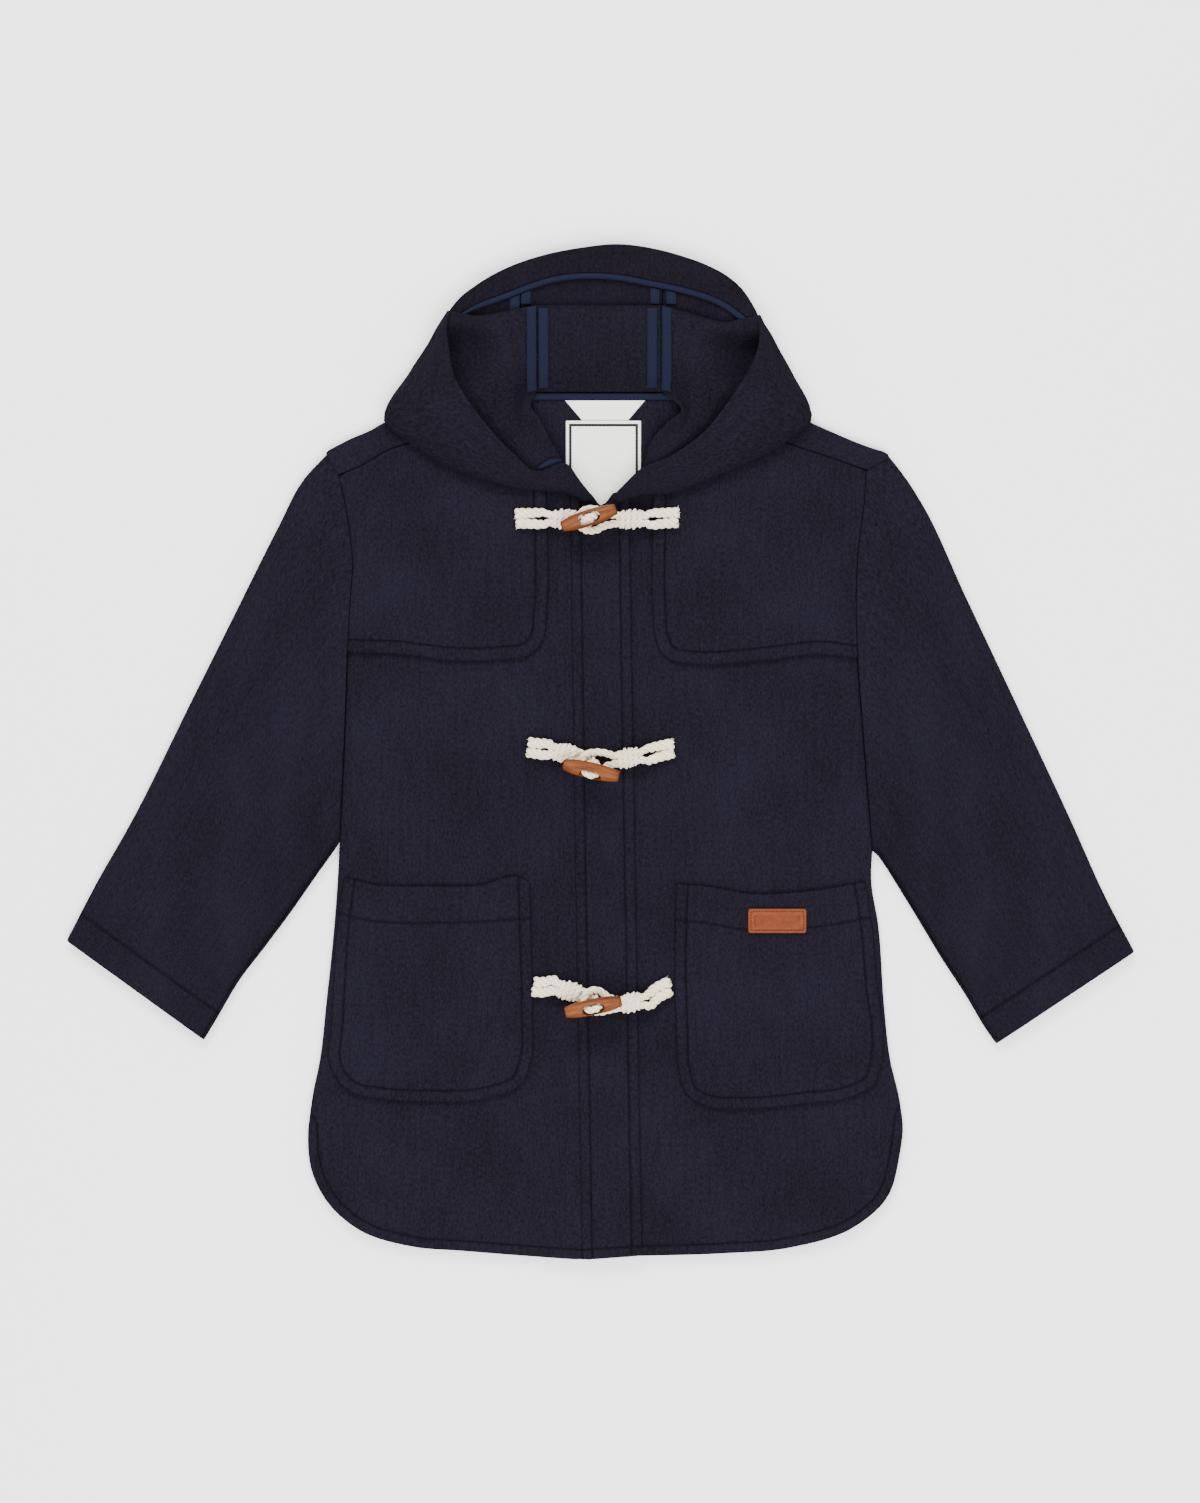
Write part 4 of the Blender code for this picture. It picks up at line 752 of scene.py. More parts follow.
# %% Distances in plan
def distance_to(points, line):
    """Distance of each point from a line of points, and how far along the line that place is."""
    start, leg = line[:-1], np.diff(line, axis=0)
    square = np.maximum((leg ** 2).sum(axis=1), 1e-12)
    at = running_length(line)[:-1]
    distance, run = [], []
    for block in np.array_split(points, max(1, len(points) // 3000)):
        away = block[:, None] - start
        t = np.clip((away * leg).sum(axis=2) / square, 0.0, 1.0)
        gap = np.linalg.norm(away - t[..., None] * leg, axis=2)
        best = gap.argmin(axis=1)
        rows = np.arange(len(block))
        distance.append(gap[rows, best])
        run.append(at[best] + t[rows, best] * np.sqrt(square[best]))
    return np.concatenate(distance), np.concatenate(run)


def inside_outline(points, outline):
    """Which points lie inside a closed outline: those whose ray crosses it an odd number of times."""
    x, y = points[:, 0], points[:, 1]
    odd = np.zeros(len(points), bool)
    for (x0, y0), (x1, y1) in zip(outline, np.roll(outline, -1, axis=0)):
        crosses = (y0 > y) != (y1 > y)
        with np.errstate(divide="ignore", invalid="ignore"):
            odd ^= crosses & (x < (x1 - x0) * (y - y0) / (y1 - y0) + x0)
    return odd


def join(*lines):
    """Lines that follow each other, as one outline without doubled points."""
    outline = [np.asarray(lines[0][0], float)]
    for line in lines:
        for point in line:
            if np.linalg.norm(np.asarray(point) - outline[-1]) > 0.15:
                outline.append(np.asarray(point, float))
    if np.linalg.norm(outline[0] - outline[-1]) < 0.15:
        outline.pop()
    outline = np.array(outline)
    ahead = np.roll(outline, -1, axis=0)
    area = (outline[:, 0] * ahead[:, 1] - ahead[:, 0] * outline[:, 1]).sum()
    return outline if area > 0 else outline[::-1]


def drawn_out(line, reach=14.0):
    """A line with both its ends carried straight on, so that distances to it don't curl round them."""
    line = np.asarray(line, float)
    first = line[0] + (line[0] - line[1]) / np.linalg.norm(line[0] - line[1]) * reach
    last = line[-1] + (line[-1] - line[-2]) / np.linalg.norm(line[-1] - line[-2]) * reach
    return np.vstack([first, line, last])


# %% Cut a sheet on lattice lines and on lines of equal distance
def cut_lattice(bm, cell):
    """Cut a flat sheet into cells with planes across X and Y."""
    for axis in (0, 1):
        normal = Vector((1.0, 0.0, 0.0)) if axis == 0 else Vector((0.0, 1.0, 0.0))
        low = min(v.co[axis] for v in bm.verts)
        high = max(v.co[axis] for v in bm.verts)
        for line in np.arange(math.floor(low / cell) + 1, high / cell) * cell:
            everything = bm.verts[:] + bm.edges[:] + bm.faces[:]
            bmesh.ops.bisect_plane(bm, geom=everything, plane_co=normal * line, plane_no=normal, dist=0.01)


SNAP = 0.22                   # a vertex this near to a level is moved onto it


def cut_levels(bm, line, levels):
    """Cut a sheet where its distance from a line passes each level."""
    points = np.array([v.co[:2] for v in bm.verts])
    height = bm.verts.layers.float.get("level") or bm.verts.layers.float.new("level")
    for vert, distance in zip(bm.verts, distance_to(points, line)[0]):
        vert[height] = distance
    for level in levels:
        joints = []
        for edge in list(bm.edges):
            a, b = edge.verts
            low, high = a[height] - level, b[height] - level
            if low * high >= 0.0:
                continue
            share = low / (low - high)
            length = edge.calc_length()
            if share * length < SNAP and not a.is_boundary:
                a[height] = level
                joints.append(a)
            elif (1.0 - share) * length < SNAP and not b.is_boundary:
                b[height] = level
                joints.append(b)
            else:
                vert = bmesh.utils.edge_split(edge, a, share)[1]
                vert[height] = level
                joints.append(vert)
        bmesh.ops.connect_verts(bm, verts=list(dict.fromkeys(joints)))


# %% The swelling of a sewn edge
BAND_LEVELS = (0.16, 0.36, 0.6, 0.8, 0.93, 1.0, 1.07, 1.22, 1.5, 2.0)     # in offsets from the edge
LINE_LEVELS = (-2.4, -0.9, 0.0, 0.9, 2.4)     # in millimetres from a plain line of stitches
BAND_SWELL = 0.95             # how far a turned edge swells, in millimetres
BEYOND_SWELL = 0.55           # and the cloth behind its stitches


def sewn_edge(distance, offset):
    """Height that a turned edge, sewn at an offset, adds to the cloth."""
    u, past = distance / offset, distance - offset
    band = BAND_SWELL * np.sin(math.pi * np.clip(u, 0.0, 1.0)) ** 0.75
    behind = BEYOND_SWELL * smooth_step(past / 2.4) * (1 - smooth_step((past - 4) / 20))
    return np.where(u < 1.0, band, behind)


def sewn_line(distance, offset):
    """Height that a plain line of stitches adds: a valley between two low banks."""
    away = np.abs(distance - offset)
    banks = 0.4 * smooth_step(away / 2.2) * (1 - smooth_step((away - 3.0) / 10.0))
    return banks - 0.18 * np.exp(-(away / 0.9) ** 2)


# %% A sheet from its outline
def flat_size(bm):
    """Width, length and area of a sheet that lies flat, in metres."""
    spans = [max(v.co[a] for v in bm.verts) - min(v.co[a] for v in bm.verts) for a in (0, 1)]
    return spans[0] * MM, spans[1] * MM, sum(f.calc_area() for f in bm.faces) * MM * MM


def clean_cuts(bm):
    """Merge the slivers that the cuts leave."""
    bmesh.ops.remove_doubles(bm, verts=bm.verts, dist=0.12)
    bmesh.ops.dissolve_degenerate(bm, dist=0.05, edges=bm.edges)


def panel_sheet(lines, under, hems=(), rows=(), cell=5.0, extra=None):
    """A sheet with an outline, its sewn edges swollen. hems and rows are (line, offset) pairs.

    Returns the bmesh, a function that gives the sheet's height at points in plan, and the outline."""
    outline = join(*lines)
    closed = np.vstack([outline, outline[:1]])
    bm = bmesh.new()
    cloth_layers(bm)
    bm.faces.new([bm.verts.new((x, y, 0.0)) for x, y in outline])
    cut_lattice(bm, cell)
    hems = [(drawn_out(line), offset) for line, offset in hems]
    rows = [(drawn_out(line), offset) for line, offset in rows]
    cut_levels(bm, closed, RIM[1:])
    for line, offset in hems:
        cut_levels(bm, line, [offset * share for share in BAND_LEVELS])
    for line, offset in rows:
        cut_levels(bm, line, [offset + away for away in LINE_LEVELS])
    clean_cuts(bm)

    def height(points):
        total = under(points[:, 0], points[:, 1])
        for line, offset in hems:
            total = total + sewn_edge(distance_to(points, line)[0], offset)
        for line, offset in rows:
            total = total + sewn_line(distance_to(points, line)[0], offset)
        return total + (extra(points) if extra else 0.0)

    points = np.array([v.co[:2] for v in bm.verts])
    near = np.full(len(points), NO_STITCH)
    for line, offset in hems + rows:
        near = np.minimum(near, np.abs(distance_to(points, line)[0] - offset))
    for vert, z in zip(bm.verts, height(points)):
        vert.co.z = z
    wall = edge_wall(distance_to(points, closed)[0])
    write_layers(bm, list(bm.verts), wall, near, points)
    bm.verts.layers.float.remove(bm.verts.layers.float["level"])
    bmesh.ops.recalc_face_normals(bm, faces=bm.faces)
    if sum(f.normal.z for f in bm.faces) < 0:
        bmesh.ops.reverse_faces(bm, faces=bm.faces)
    return bm, height, outline


# %% Build a panel
STITCH_LINES = []             # each: the line's points in 3D, and the thread that sews it
THREAD_STEP = 0.5             # spacing of the points along a line of stitches


def offset_line(line, offset, outline):
    """A line moved sideways into a panel by an offset, where it lies inside the outline."""
    line = drawn_out(line)
    line = read_at(line, np.arange(0.0, running_length(line)[-1], THREAD_STEP))
    ahead = np.gradient(line, axis=0)
    beside = np.stack([-ahead[:, 1], ahead[:, 0]], axis=1)
    beside /= np.linalg.norm(beside, axis=1)[:, None]
    sides = [line + beside * offset * sign for sign in (1.0, -1.0)]
    moved = max(sides, key=lambda side: inside_outline(side, outline).sum())
    return moved[inside_outline(moved, outline)]


def cloth_panel(name, lines, under, hems=(), rows=(), finish=WOOL_BODY,
                cell=5.0, extra=None):
    """A finished flat piece of wool: sheet, wall, and the lines its stitches will follow."""
    bm, height, outline = panel_sheet(lines, under, hems, rows, cell, extra)
    size = flat_size(bm)
    for line, offset in list(hems) + list(rows):
        path = offset_line(line, offset, outline)
        STITCH_LINES.append((np.column_stack([path, height(path) + WOOL]), "navy"))
    print(name, ":", len(bm.faces), "faces,", round(size[0] * 1000), "x", round(size[1] * 1000), "mm")
    obj = add_cloth(name + "_cloth", bm, finish, (name,), WOOL, 1.0)


# %% [markdown]
# ## Fronts, placket, yokes and pockets
# The right front ends in a separate band, the placket, that laps over the left front and carries
# the toggles. Two shoulder yokes lie on the fronts and are sewn down along their free edges. The
# patch pockets are sewn on along their sides and bottom, 6.5 mm in, and their mouths have a wide
# hem. The shirt-tail hem is turned and sewn 6 mm from the edge.

# %% Fronts and placket
STEP = 3.5                    # spacing of the points along a curved edge
HEM = 6.0                     # stitches of the hem and the placket, from the edge
YOKE_HEM = 7.6
POCKET_HEM = 6.5
MOUTH_HEM = 24.0
HALF_SEAM = 0.06              # half the gap that shows where two pieces meet edge to edge

side_right = refine(SIDE_RIGHT[:-1] + ((-11.6 - SEAM / 2, -334.2),), STEP)
side_left = refine(SIDE_LEFT, STEP)
armhole_right = refine(ARMHOLE_RIGHT, STEP)
armhole_left = refine(ARMHOLE_LEFT, STEP)
shoulder_right = refine(SHOULDER_SEAM_RIGHT, STEP)
shoulder_left = refine(SHOULDER_SEAM_LEFT, STEP)
neck_right = refine(NECKLINE_RIGHT, STEP)
neck_left = refine(NECKLINE_LEFT, STEP)
placket_seam = refine(PLACKET_SEAM, STEP)
placket_edge = refine(PLACKET_EDGE, STEP)
placket_foot = refine([(26.7, -331.5), (-11.6, -334.3)], STEP)
hem_right = side_right[running_length(side_right) > 200.0]
hem_left = side_left[running_length(side_left) > 190.0]
seam_gap = np.array([HALF_SEAM, 0.0])

cloth_panel("front_right",
            (side_right, placket_seam[::-1] - seam_gap, neck_right[::-1], shoulder_right, armhole_right),
            under_right, hems=[(hem_right, HEM)])
left_foot = refine([(26.7, -331.9), (-3.0, -331.8)], STEP)
left_edge = refine([(-3.0, -331.8), (-8.0, 158.0)], STEP)
left_top = refine([(-8.0, 158.0), (4.0, 161.0), (18.0, 170.5), (24.0, 172.5)], STEP)
cloth_panel("front_left",
            (side_left, left_foot, left_edge, left_top, neck_left[::-1], shoulder_left, armhole_left),
            under_base, hems=[(np.vstack([hem_left, left_foot[1:]]), HEM)])
band_seam = placket_seam + seam_gap
cloth_panel("placket", (band_seam, placket_foot[::-1], placket_edge[::-1], refine(PLACKET_TOP, STEP)),
            under_placket, hems=[(band_seam, HEM), (placket_edge, HEM), (placket_foot, HEM)],
            cell=4.0)

# %% Yokes and pockets
def up_to(line, axis, value):
    """A line's points as far as the one nearest to a value of x (axis 0) or y (axis 1)."""
    return line[:1 + int(np.argmin(np.abs(line[:, axis] - value)))]


free_right = refine(YOKE_RIGHT_FREE, STEP)
free_left = refine(YOKE_LEFT_FREE, STEP)
cloth_panel("yoke_right", (free_right, up_to(armhole_right, 1, YOKE_RIGHT_FREE[-1][1])[::-1],
                           shoulder_right[::-1], up_to(neck_right, 0, -46.0)[:-1]),
            under_yoke_right, hems=[(free_right, YOKE_HEM)], cell=4.0)
cloth_panel("yoke_left", (free_left, up_to(armhole_left, 1, YOKE_LEFT_FREE[-1][1])[::-1],
                          shoulder_left[::-1], up_to(neck_left, 0, 50.0)[:-1]),
            under_yoke_left, hems=[(free_left, YOKE_HEM)], cell=4.0)
for side, mouth, bag, under in (("right", MOUTH_RIGHT, BAG_RIGHT, under_pocket_right),
                                ("left", MOUTH_LEFT, BAG_LEFT, under_pocket_left)):
    guide = refine([point for point in mouth if abs(point[0]) > 58.0 or point[1] < -85.0], STEP)
    mouth, bag = refine(mouth, STEP), refine(bag, STEP)
    cloth_panel("pocket_" + side, (mouth, bag), under, hems=[(bag, POCKET_HEM)],
                rows=[(guide, MOUTH_HEM)], cell=4.0)

# %% [markdown]
# ## Back and sleeves
# The back is one flat piece. At each shoulder it folds over to the front, where a seam joins it to
# the front and its yoke, so a soft rounded edge shows above each shoulder seam. Each sleeve is a
# tube pressed flat: its section runs over the top from the outer fold to the inner one and back
# underneath. The cuff is turned and sewn 20 mm from its end.

# %% Back, flat
SHOULDER_LEAN = np.array([0.35, 0.94])       # the way out from the left shoulder
fold_half = (float(under_yoke_right(-150.0, 190.0)) + WOOL) / 2.0 - WOOL / 2.0
folds = {}
for side, points in ((-1, SHOULDER_FOLD_RIGHT), (1, SHOULDER_FOLD_LEFT)):
    folds[side] = refine(points, STEP) - SHOULDER_LEAN * (side, 1) * (fold_half + WOOL / 2.0)
    to_end = running_length(folds[side])[-1] - running_length(folds[side])
    folds[side][:, 0] += side * 1.7 * smooth_step(1.0 - to_end / 14.0)

back_neck = [(50.5, 239.2), (2.0, 239.4), (-47.2, 239.2)]
back_outline = join(armhole_right, side_right, side_left[::-1], armhole_left[::-1], folds[1][::-1],
                    back_neck, folds[-1])
bm = bmesh.new()
cloth_layers(bm)
bm.faces.new([bm.verts.new((x, y, WOOL / 2.0)) for x, y in back_outline])
cut_lattice(bm, 13.0)
open_edge = np.vstack([armhole_right, side_right, side_left[::-1], armhole_left[::-1]])
cut_levels(bm, open_edge, RIM[1:])
clean_cuts(bm)
back_size = flat_size(bm)
points = np.array([v.co[:2] for v in bm.verts])
from_edge = np.minimum(distance_to(points, open_edge)[0], distance_to(points, np.array(back_neck))[0])
write_layers(bm, list(bm.verts), edge_wall(from_edge), np.full(len(points), NO_STITCH), points)
bm.verts.layers.float.remove(bm.verts.layers.float["level"])
print("back:", len(bm.faces), "faces")

# %% Back, its forward shoulders
STRIP_BELOW_SEAM = 0.2        # gap from the strip's end to the front's shoulder seam
STRIP_LENGTH = 0.03           # what the two strips add to the back's flat size, in metres
STRIP_AREA = 0.004            # and to its area
strip_z = WOOL / 2.0 + 2.0 * fold_half
turns = np.linspace(0.0, math.pi, 10)
for side, seam in ((-1, shoulder_right), (1, shoulder_left)):
    fold = folds[side]
    on_fold = []
    for vert in bm.verts:
        distance, run = distance_to(np.array([vert.co[:2]]), fold)
        if distance[0] < 0.06:
            on_fold.append((run[0], vert.co[:2]))
    on_fold.sort()
    share = np.array([run for run, _ in on_fold]) / running_length(fold)[-1]
    start = np.array([place for _, place in on_fold])
    lean = SHOULDER_LEAN * (side, 1)
    rows = []
    for turn in turns:
        plan = start + lean * fold_half * math.sin(turn)
        high = np.full(len(start), WOOL / 2.0 + fold_half * (1 - math.cos(turn)))
        rows.append(np.column_stack([plan, high]))
    end = read_at(seam, share * running_length(seam)[-1]) + (0.0, STRIP_BELOW_SEAM)
    end[:, 0] += side * 0.9 * smooth_step((share - 0.9) / 0.1)
    for t in (0.15, 0.3, 0.5, 0.7, 0.82, 0.9, 0.96, 1.0):
        high = np.full(len(start), strip_z + 0.6 * math.sin(math.pi * min(1.0, t * 1.04)) ** 0.8 - 0.25 * t)
        rows.append(np.column_stack([start + (end - start) * t, high]))
    bm = skin(rows, thin_rows=False, bm=bm)
    layer = bm.verts.layers.deform.verify()
    for vert in bm.verts:
        if vert.co.z > strip_z - 1.0 and vert.co.x * side > 0:
            distance = distance_to(np.array([vert.co[:2]]), seam)[0][0]
            vert[layer][0] = min(vert[layer][0], float(edge_wall(distance - STRIP_BELOW_SEAM)))
bmesh.ops.remove_doubles(bm, verts=bm.verts, dist=0.02)
bmesh.ops.recalc_face_normals(bm, faces=bm.faces)
back = add_cloth("back_cloth", bm, WOOL_BODY, ("back",), WOOL, 0.0)
back_size = (back_size[0], back_size[1] + STRIP_LENGTH, back_size[2] + STRIP_AREA)

# %% Sleeves: sections from armhole to cuff
#   outer fold x, y, inner fold x, y, top height of the section's middle line
SLEEVE_RIGHT = (
    (-178.7, 197.2, -173.4, -59.6, 6.7),
    (-194.4, 180.5, -178.0, -67.5, 6.4),
    (-211.5, 148.8, -190.0, -85.0, 5.9),
    (-240.0, 92.0, -206.0, -108.0, 5.4),
    (-270.0, 32.0, -222.0, -129.5, 5.6),
    (-308.6, -45.2, -240.5, -154.5, 5.3),
    (-333.0, -88.0, -253.0, -176.0, 5.5),
    (-352.0, -124.6, -261.5, -190.0, 5.2),
)
SLEEVE_LEFT = (
    (187.8, 196.9, 180.8, -66.6, 6.7),
    (199.7, 181.8, 184.0, -69.0, 6.4),
    (212.0, 162.5, 191.0, -80.0, 5.9),
    (239.0, 105.0, 207.0, -106.0, 5.5),
    (270.0, 39.5, 225.0, -136.0, 5.3),
    (309.9, -45.2, 242.0, -162.5, 5.6),
    (334.0, -98.0, 253.5, -182.0, 5.3),
    (352.0, -132.0, 261.0, -192.5, 5.2),
)
CUFF_STITCH = 20.0
CUFF_SQUARE = 34.0            # from here to the cuff the sections lie parallel to its edge
FOLD_HALF_LOW = 1.55          # least half height of a sleeve's folded edges


def sleeve_stations(table, step):
    """Rows read off a sleeve's table along its length, the last ones parallel to the cuff.

    Each row: outer x, y, inner x, y, top, how far the armhole's curve still shapes it."""
    rows = np.column_stack([np.array(table), np.maximum(0.0, 1.0 - np.arange(len(table)) / 3.0)])
    dense = refine(rows, 2.0)[::-1]
    outer_at, inner_at = running_length(dense[:, 0:2]), running_length(dense[:, 2:4])
    far = outer_at > CUFF_SQUARE * 1.3
    far &= inner_at > CUFF_SQUARE * 1.02
    outer_key = np.concatenate([[0.0, CUFF_SQUARE], outer_at[far]])
    inner_key = np.concatenate([[0.0, CUFF_SQUARE], inner_at[far]])
    cuff = [CUFF_STITCH * share for share in BAND_LEVELS]
    places = rimmed(outer_key[-1], step, extra=cuff)
    inner_places = np.interp(places, outer_key, inner_key)
    outer = np.array([np.interp(places, outer_at, dense[:, k]) for k in (0, 1, 4, 5)]).T
    inner = np.array([np.interp(inner_places, inner_at, dense[:, k]) for k in (2, 3)]).T
    return np.column_stack([outer[:, :2], inner, outer[:, 2:]])


# %% Sleeves: one section, and the tube
SLEEVE_ROLLS = (
    (-196.0, 120.0, -262.0, -30.0, 0.9, 13.0),
    (-182.0, 60.0, -226.0, -70.0, -0.5, 14.0),
    (-176.0, 20.0, -236.0, -96.0, 0.9, 11.0),
    (-222.0, 110.0, -300.0, -56.0, 0.5, 12.0),
    (-252.0, -60.0, -330.0, -96.0, 0.5, 9.0),
    (-240.0, -126.0, -300.0, -112.0, 0.6, 8.0),
    (196.0, 110.0, 250.0, -20.0, 0.9, 13.0),
    (184.0, 44.0, 232.0, -72.0, -0.5, 14.0),
    (182.0, 10.0, 236.0, -100.0, 0.9, 11.0),
    (226.0, 112.0, 300.0, -50.0, 0.5, 12.0),
    (250.0, -50.0, 322.0, -110.0, 0.5, 9.0),
    (240.0, -132.0, 296.0, -118.0, 0.6, 8.0),
)


def sleeve_rows(table, armhole, side):
    """Points of a sleeve's middle line, station by station, each once round, and their plan."""
    armhole = refine(np.asarray(armhole) + (side * 0.03, 0.0), 9.0)
    outer0, inner0 = np.array(table[0][0:2]), np.array(table[0][2:4])
    path = np.vstack([outer0, armhole, inner0])
    v = (running_length(path) / running_length(path)[-1])[1:-1]
    bulge = armhole - (outer0 + (inner0 - outer0) * v[:, None])
    low_edge = 2.0 * FOLD_HALF_LOW + WOOL / 2.0
    angles = np.linspace(-math.pi / 2, math.pi / 2, 9)
    rows = []
    for station in sleeve_stations(table, 7.0):
        outer, inner, top, fade = station[0:2], station[2:4], station[4], station[5]
        plan = outer + (inner - outer) * v[:, None] + bulge * fade
        crown = blend(low_edge, top, smooth_step(np.minimum(v, 1 - v) / 0.18 + 0.25 * fade))
        inward = (inner - outer) / np.linalg.norm(inner - outer)
        upper = np.column_stack([plan, crown])
        lower = np.column_stack([plan, np.full(len(v), WOOL / 2.0)])[::-1]
        ring = []
        for edge, sign, line, high in ((outer, 1.0, upper, crown[0]), (inner, -1.0, lower, crown[-1])):
            half = (max(high, low_edge) - WOOL / 2.0) / 2.0
            centre = edge + inward * sign * (WOOL / 2.0 + half)
            for angle in angles:
                place = centre - inward * sign * half * math.cos(angle)
                ring.append((*place, WOOL / 2.0 + half + sign * half * math.sin(angle)))
            ring.extend(line)
        rows.append(ring + ring[:1])
    return np.array(rows)


def make_sleeve(name, table, armhole, side):
    rows = sleeve_rows(table, armhole, side)
    cuff_line = np.array([table[-1][0:2], table[-1][2:4]])
    plan = rows[:, :, :2].reshape(-1, 2)
    to_cuff = distance_to(plan, drawn_out(cuff_line))[0].reshape(rows.shape[:2])
    to_armhole = distance_to(plan, np.asarray(armhole))[0].reshape(rows.shape[:2])
    lift = rolls_at(SLEEVE_ROLLS, plan[:, 0], plan[:, 1]) + 1.3 * ripple(plan[:, 0], plan[:, 1], side)
    lift = lift.reshape(rows.shape[:2]) * smooth_step(to_armhole / 22.0) * smooth_step((to_cuff - 6.0) / 30.0)
    lift += sewn_edge(to_cuff, CUFF_STITCH) * 0.7
    lift += 0.5 * smooth_step(to_armhole / 3.0) * (1 - smooth_step((to_armhole - 4.0) / 18.0))
    above = smooth_step((rows[:, :, 2] - WOOL / 2.0 - 1.2) / 2.4)
    rows[:, :, 2] += lift * above
    bm = skin(rows, thin_columns=False, stitch=np.abs(to_cuff - CUFF_STITCH), wrap=True)
    obj = add_cloth(name + "_cloth", bm, WOOL_BODY, (name,), WOOL, 0.0)
    # the stitches of the cuff, along its upper side
    direction = cuff_line[1] - cuff_line[0]
    inward = np.array([direction[1], -direction[0]]) / np.linalg.norm(direction)
    inward *= 1.0 if inward[1] > 0 else -1.0
    places = np.arange(3.0, np.linalg.norm(direction) - 3.0, THREAD_STEP)
    line = read_at(cuff_line, places) + inward * CUFF_STITCH
    upper = (rows[:, :, 2] > 3.4) & (np.abs(to_cuff - CUFF_STITCH) < 0.8)
    known = rows[upper]
    high = [known[np.argmin(((known[:, :2] - place) ** 2).sum(axis=1)), 2] for place in line]
    STITCH_LINES.append((np.column_stack([line, np.array(high) + WOOL / 2.0]), "navy"))
    print(name, ":", rows.shape[0], "stations,", rows.shape[1] - 1, "points round")


make_sleeve("sleeve_right", SLEEVE_RIGHT, ARMHOLE_RIGHT, -1)
make_sleeve("sleeve_left", SLEEVE_LEFT, ARMHOLE_LEFT, 1)

# %% [markdown]
# ## Hood
# The hood is cut in three: two sides and a centre strip. Laid open, each side stands up from the
# neck in a soft roll and falls outwards over the shoulder, while inside it runs down to the back
# neck. Beyond the opening the hood's front is folded back, lining side up, with its facing and
# binding tapes showing. Each side is a skin over sections that run from its front edge, over the
# outer fold, and back inside.

# %% Sections of the hood's sides
#   front edge x, y, z; outer fold x, y, z; floor z; roll x, y, z; inner edge x, y, z
HOOD_SIDE_RIGHT = (
    (-3.6, 165.8, 12.8, -9.8, 164.4, 11.4, 10.2, -7.4, 166.2, 10.2, -5.6, 167.2, 10.2),
    (-13.0, 177.4, 13.6, -24.0, 171.0, 11.8, 10.2, -17.0, 176.9, 10.4, -14.0, 178.4, 10.2),
    (-22.8, 189.6, 15.0, -38.0, 172.1, 12.6, 11.3, -28.5, 184.5, 11.3, -23.0, 188.4, 10.6),
    (-41.9, 183.8, 17.6, -58.0, 174.6, 13.0, 11.5, -42.0, 190.0, 11.9, -31.5, 202.5, 10.6),
    (-56.4, 195.0, 20.6, -79.0, 180.4, 12.8, 10.6, -52.0, 203.0, 14.6, -39.9, 218.8, 9.8),
    (-69.0, 207.6, 23.6, -102.0, 189.6, 12.4, 10.0, -60.0, 217.0, 16.4, -46.0, 228.0, 8.4),
    (-81.0, 222.1, 26.6, -125.1, 203.6, 12.4, 10.0, -62.0, 233.0, 16.6, -41.7, 238.0, 4.6),
    (-88.0, 232.0, 28.0, -140.9, 217.5, 11.8, 9.7, -61.0, 243.0, 16.4, -41.7, 245.0, 7.2),
    (-96.7, 249.2, 28.6, -124.8, 249.5, 7.2, 2.5, -62.5, 256.0, 16.4, -41.7, 258.0, 10.3),
    (-100.0, 268.3, 25.4, -112.5, 268.3, 9.2, 3.0, -68.5, 272.0, 15.6, -41.7, 276.0, 12.9),
    (-100.8, 278.5, 20.4, -106.2, 279.0, 15.6, 12.2, -75.0, 283.5, 14.8, -41.7, 291.0, 13.8),
    (-99.8, 284.2, 16.4, -102.7, 284.6, 13.6, 12.4, -77.0, 285.5, 13.0, -41.7, 292.4, 12.4),
    (-98.7, 288.4, 12.9, -99.5, 289.6, 12.6, 12.4, -78.0, 286.2, 12.0, -41.7, 292.8, 11.3),
)
HOOD_SIDE_LEFT = (
    (5.8, 165.8, 12.8, 12.0, 164.4, 11.4, 10.2, 9.6, 166.2, 10.2, 7.8, 167.2, 10.2),
    (16.0, 176.0, 13.6, 26.0, 169.2, 11.8, 10.2, 20.0, 175.0, 10.4, 17.0, 176.8, 10.2),
    (26.7, 186.0, 15.0, 44.0, 170.4, 12.4, 10.6, 33.0, 182.5, 10.9, 27.4, 185.0, 10.4),
    (42.6, 192.4, 17.6, 62.0, 175.8, 12.4, 10.2, 42.0, 196.0, 12.6, 32.7, 203.0, 10.2),
    (57.8, 201.6, 20.6, 84.0, 185.4, 12.4, 10.0, 54.0, 207.0, 14.8, 44.5, 217.0, 9.6),
    (71.6, 213.5, 23.6, 106.6, 195.7, 12.4, 10.0, 62.0, 220.0, 16.4, 53.0, 226.0, 8.4),
    (83.5, 228.7, 26.6, 121.8, 204.9, 12.4, 10.0, 64.0, 234.0, 16.6, 40.0, 238.0, 4.6),
    (88.5, 236.0, 28.0, 136.9, 218.0, 11.8, 9.7, 63.0, 243.0, 16.4, 40.0, 245.0, 7.2),
    (96.4, 248.5, 28.6, 126.0, 248.0, 7.2, 2.5, 62.5, 256.0, 16.4, 40.0, 258.0, 10.3),
    (102.8, 263.0, 25.4, 117.4, 263.5, 9.2, 3.0, 66.0, 270.0, 15.6, 40.0, 276.0, 12.9),
    (104.2, 274.0, 20.4, 110.4, 275.5, 15.6, 12.2, 76.0, 279.0, 14.8, 40.0, 291.0, 13.8),
    (104.0, 279.6, 16.4, 107.2, 280.4, 13.6, 12.4, 78.0, 281.2, 13.0, 40.0, 292.4, 12.4),
    (102.6, 285.2, 12.9, 103.6, 286.8, 12.6, 12.4, 79.0, 282.0, 12.0, 40.0, 292.8, 11.3),
)


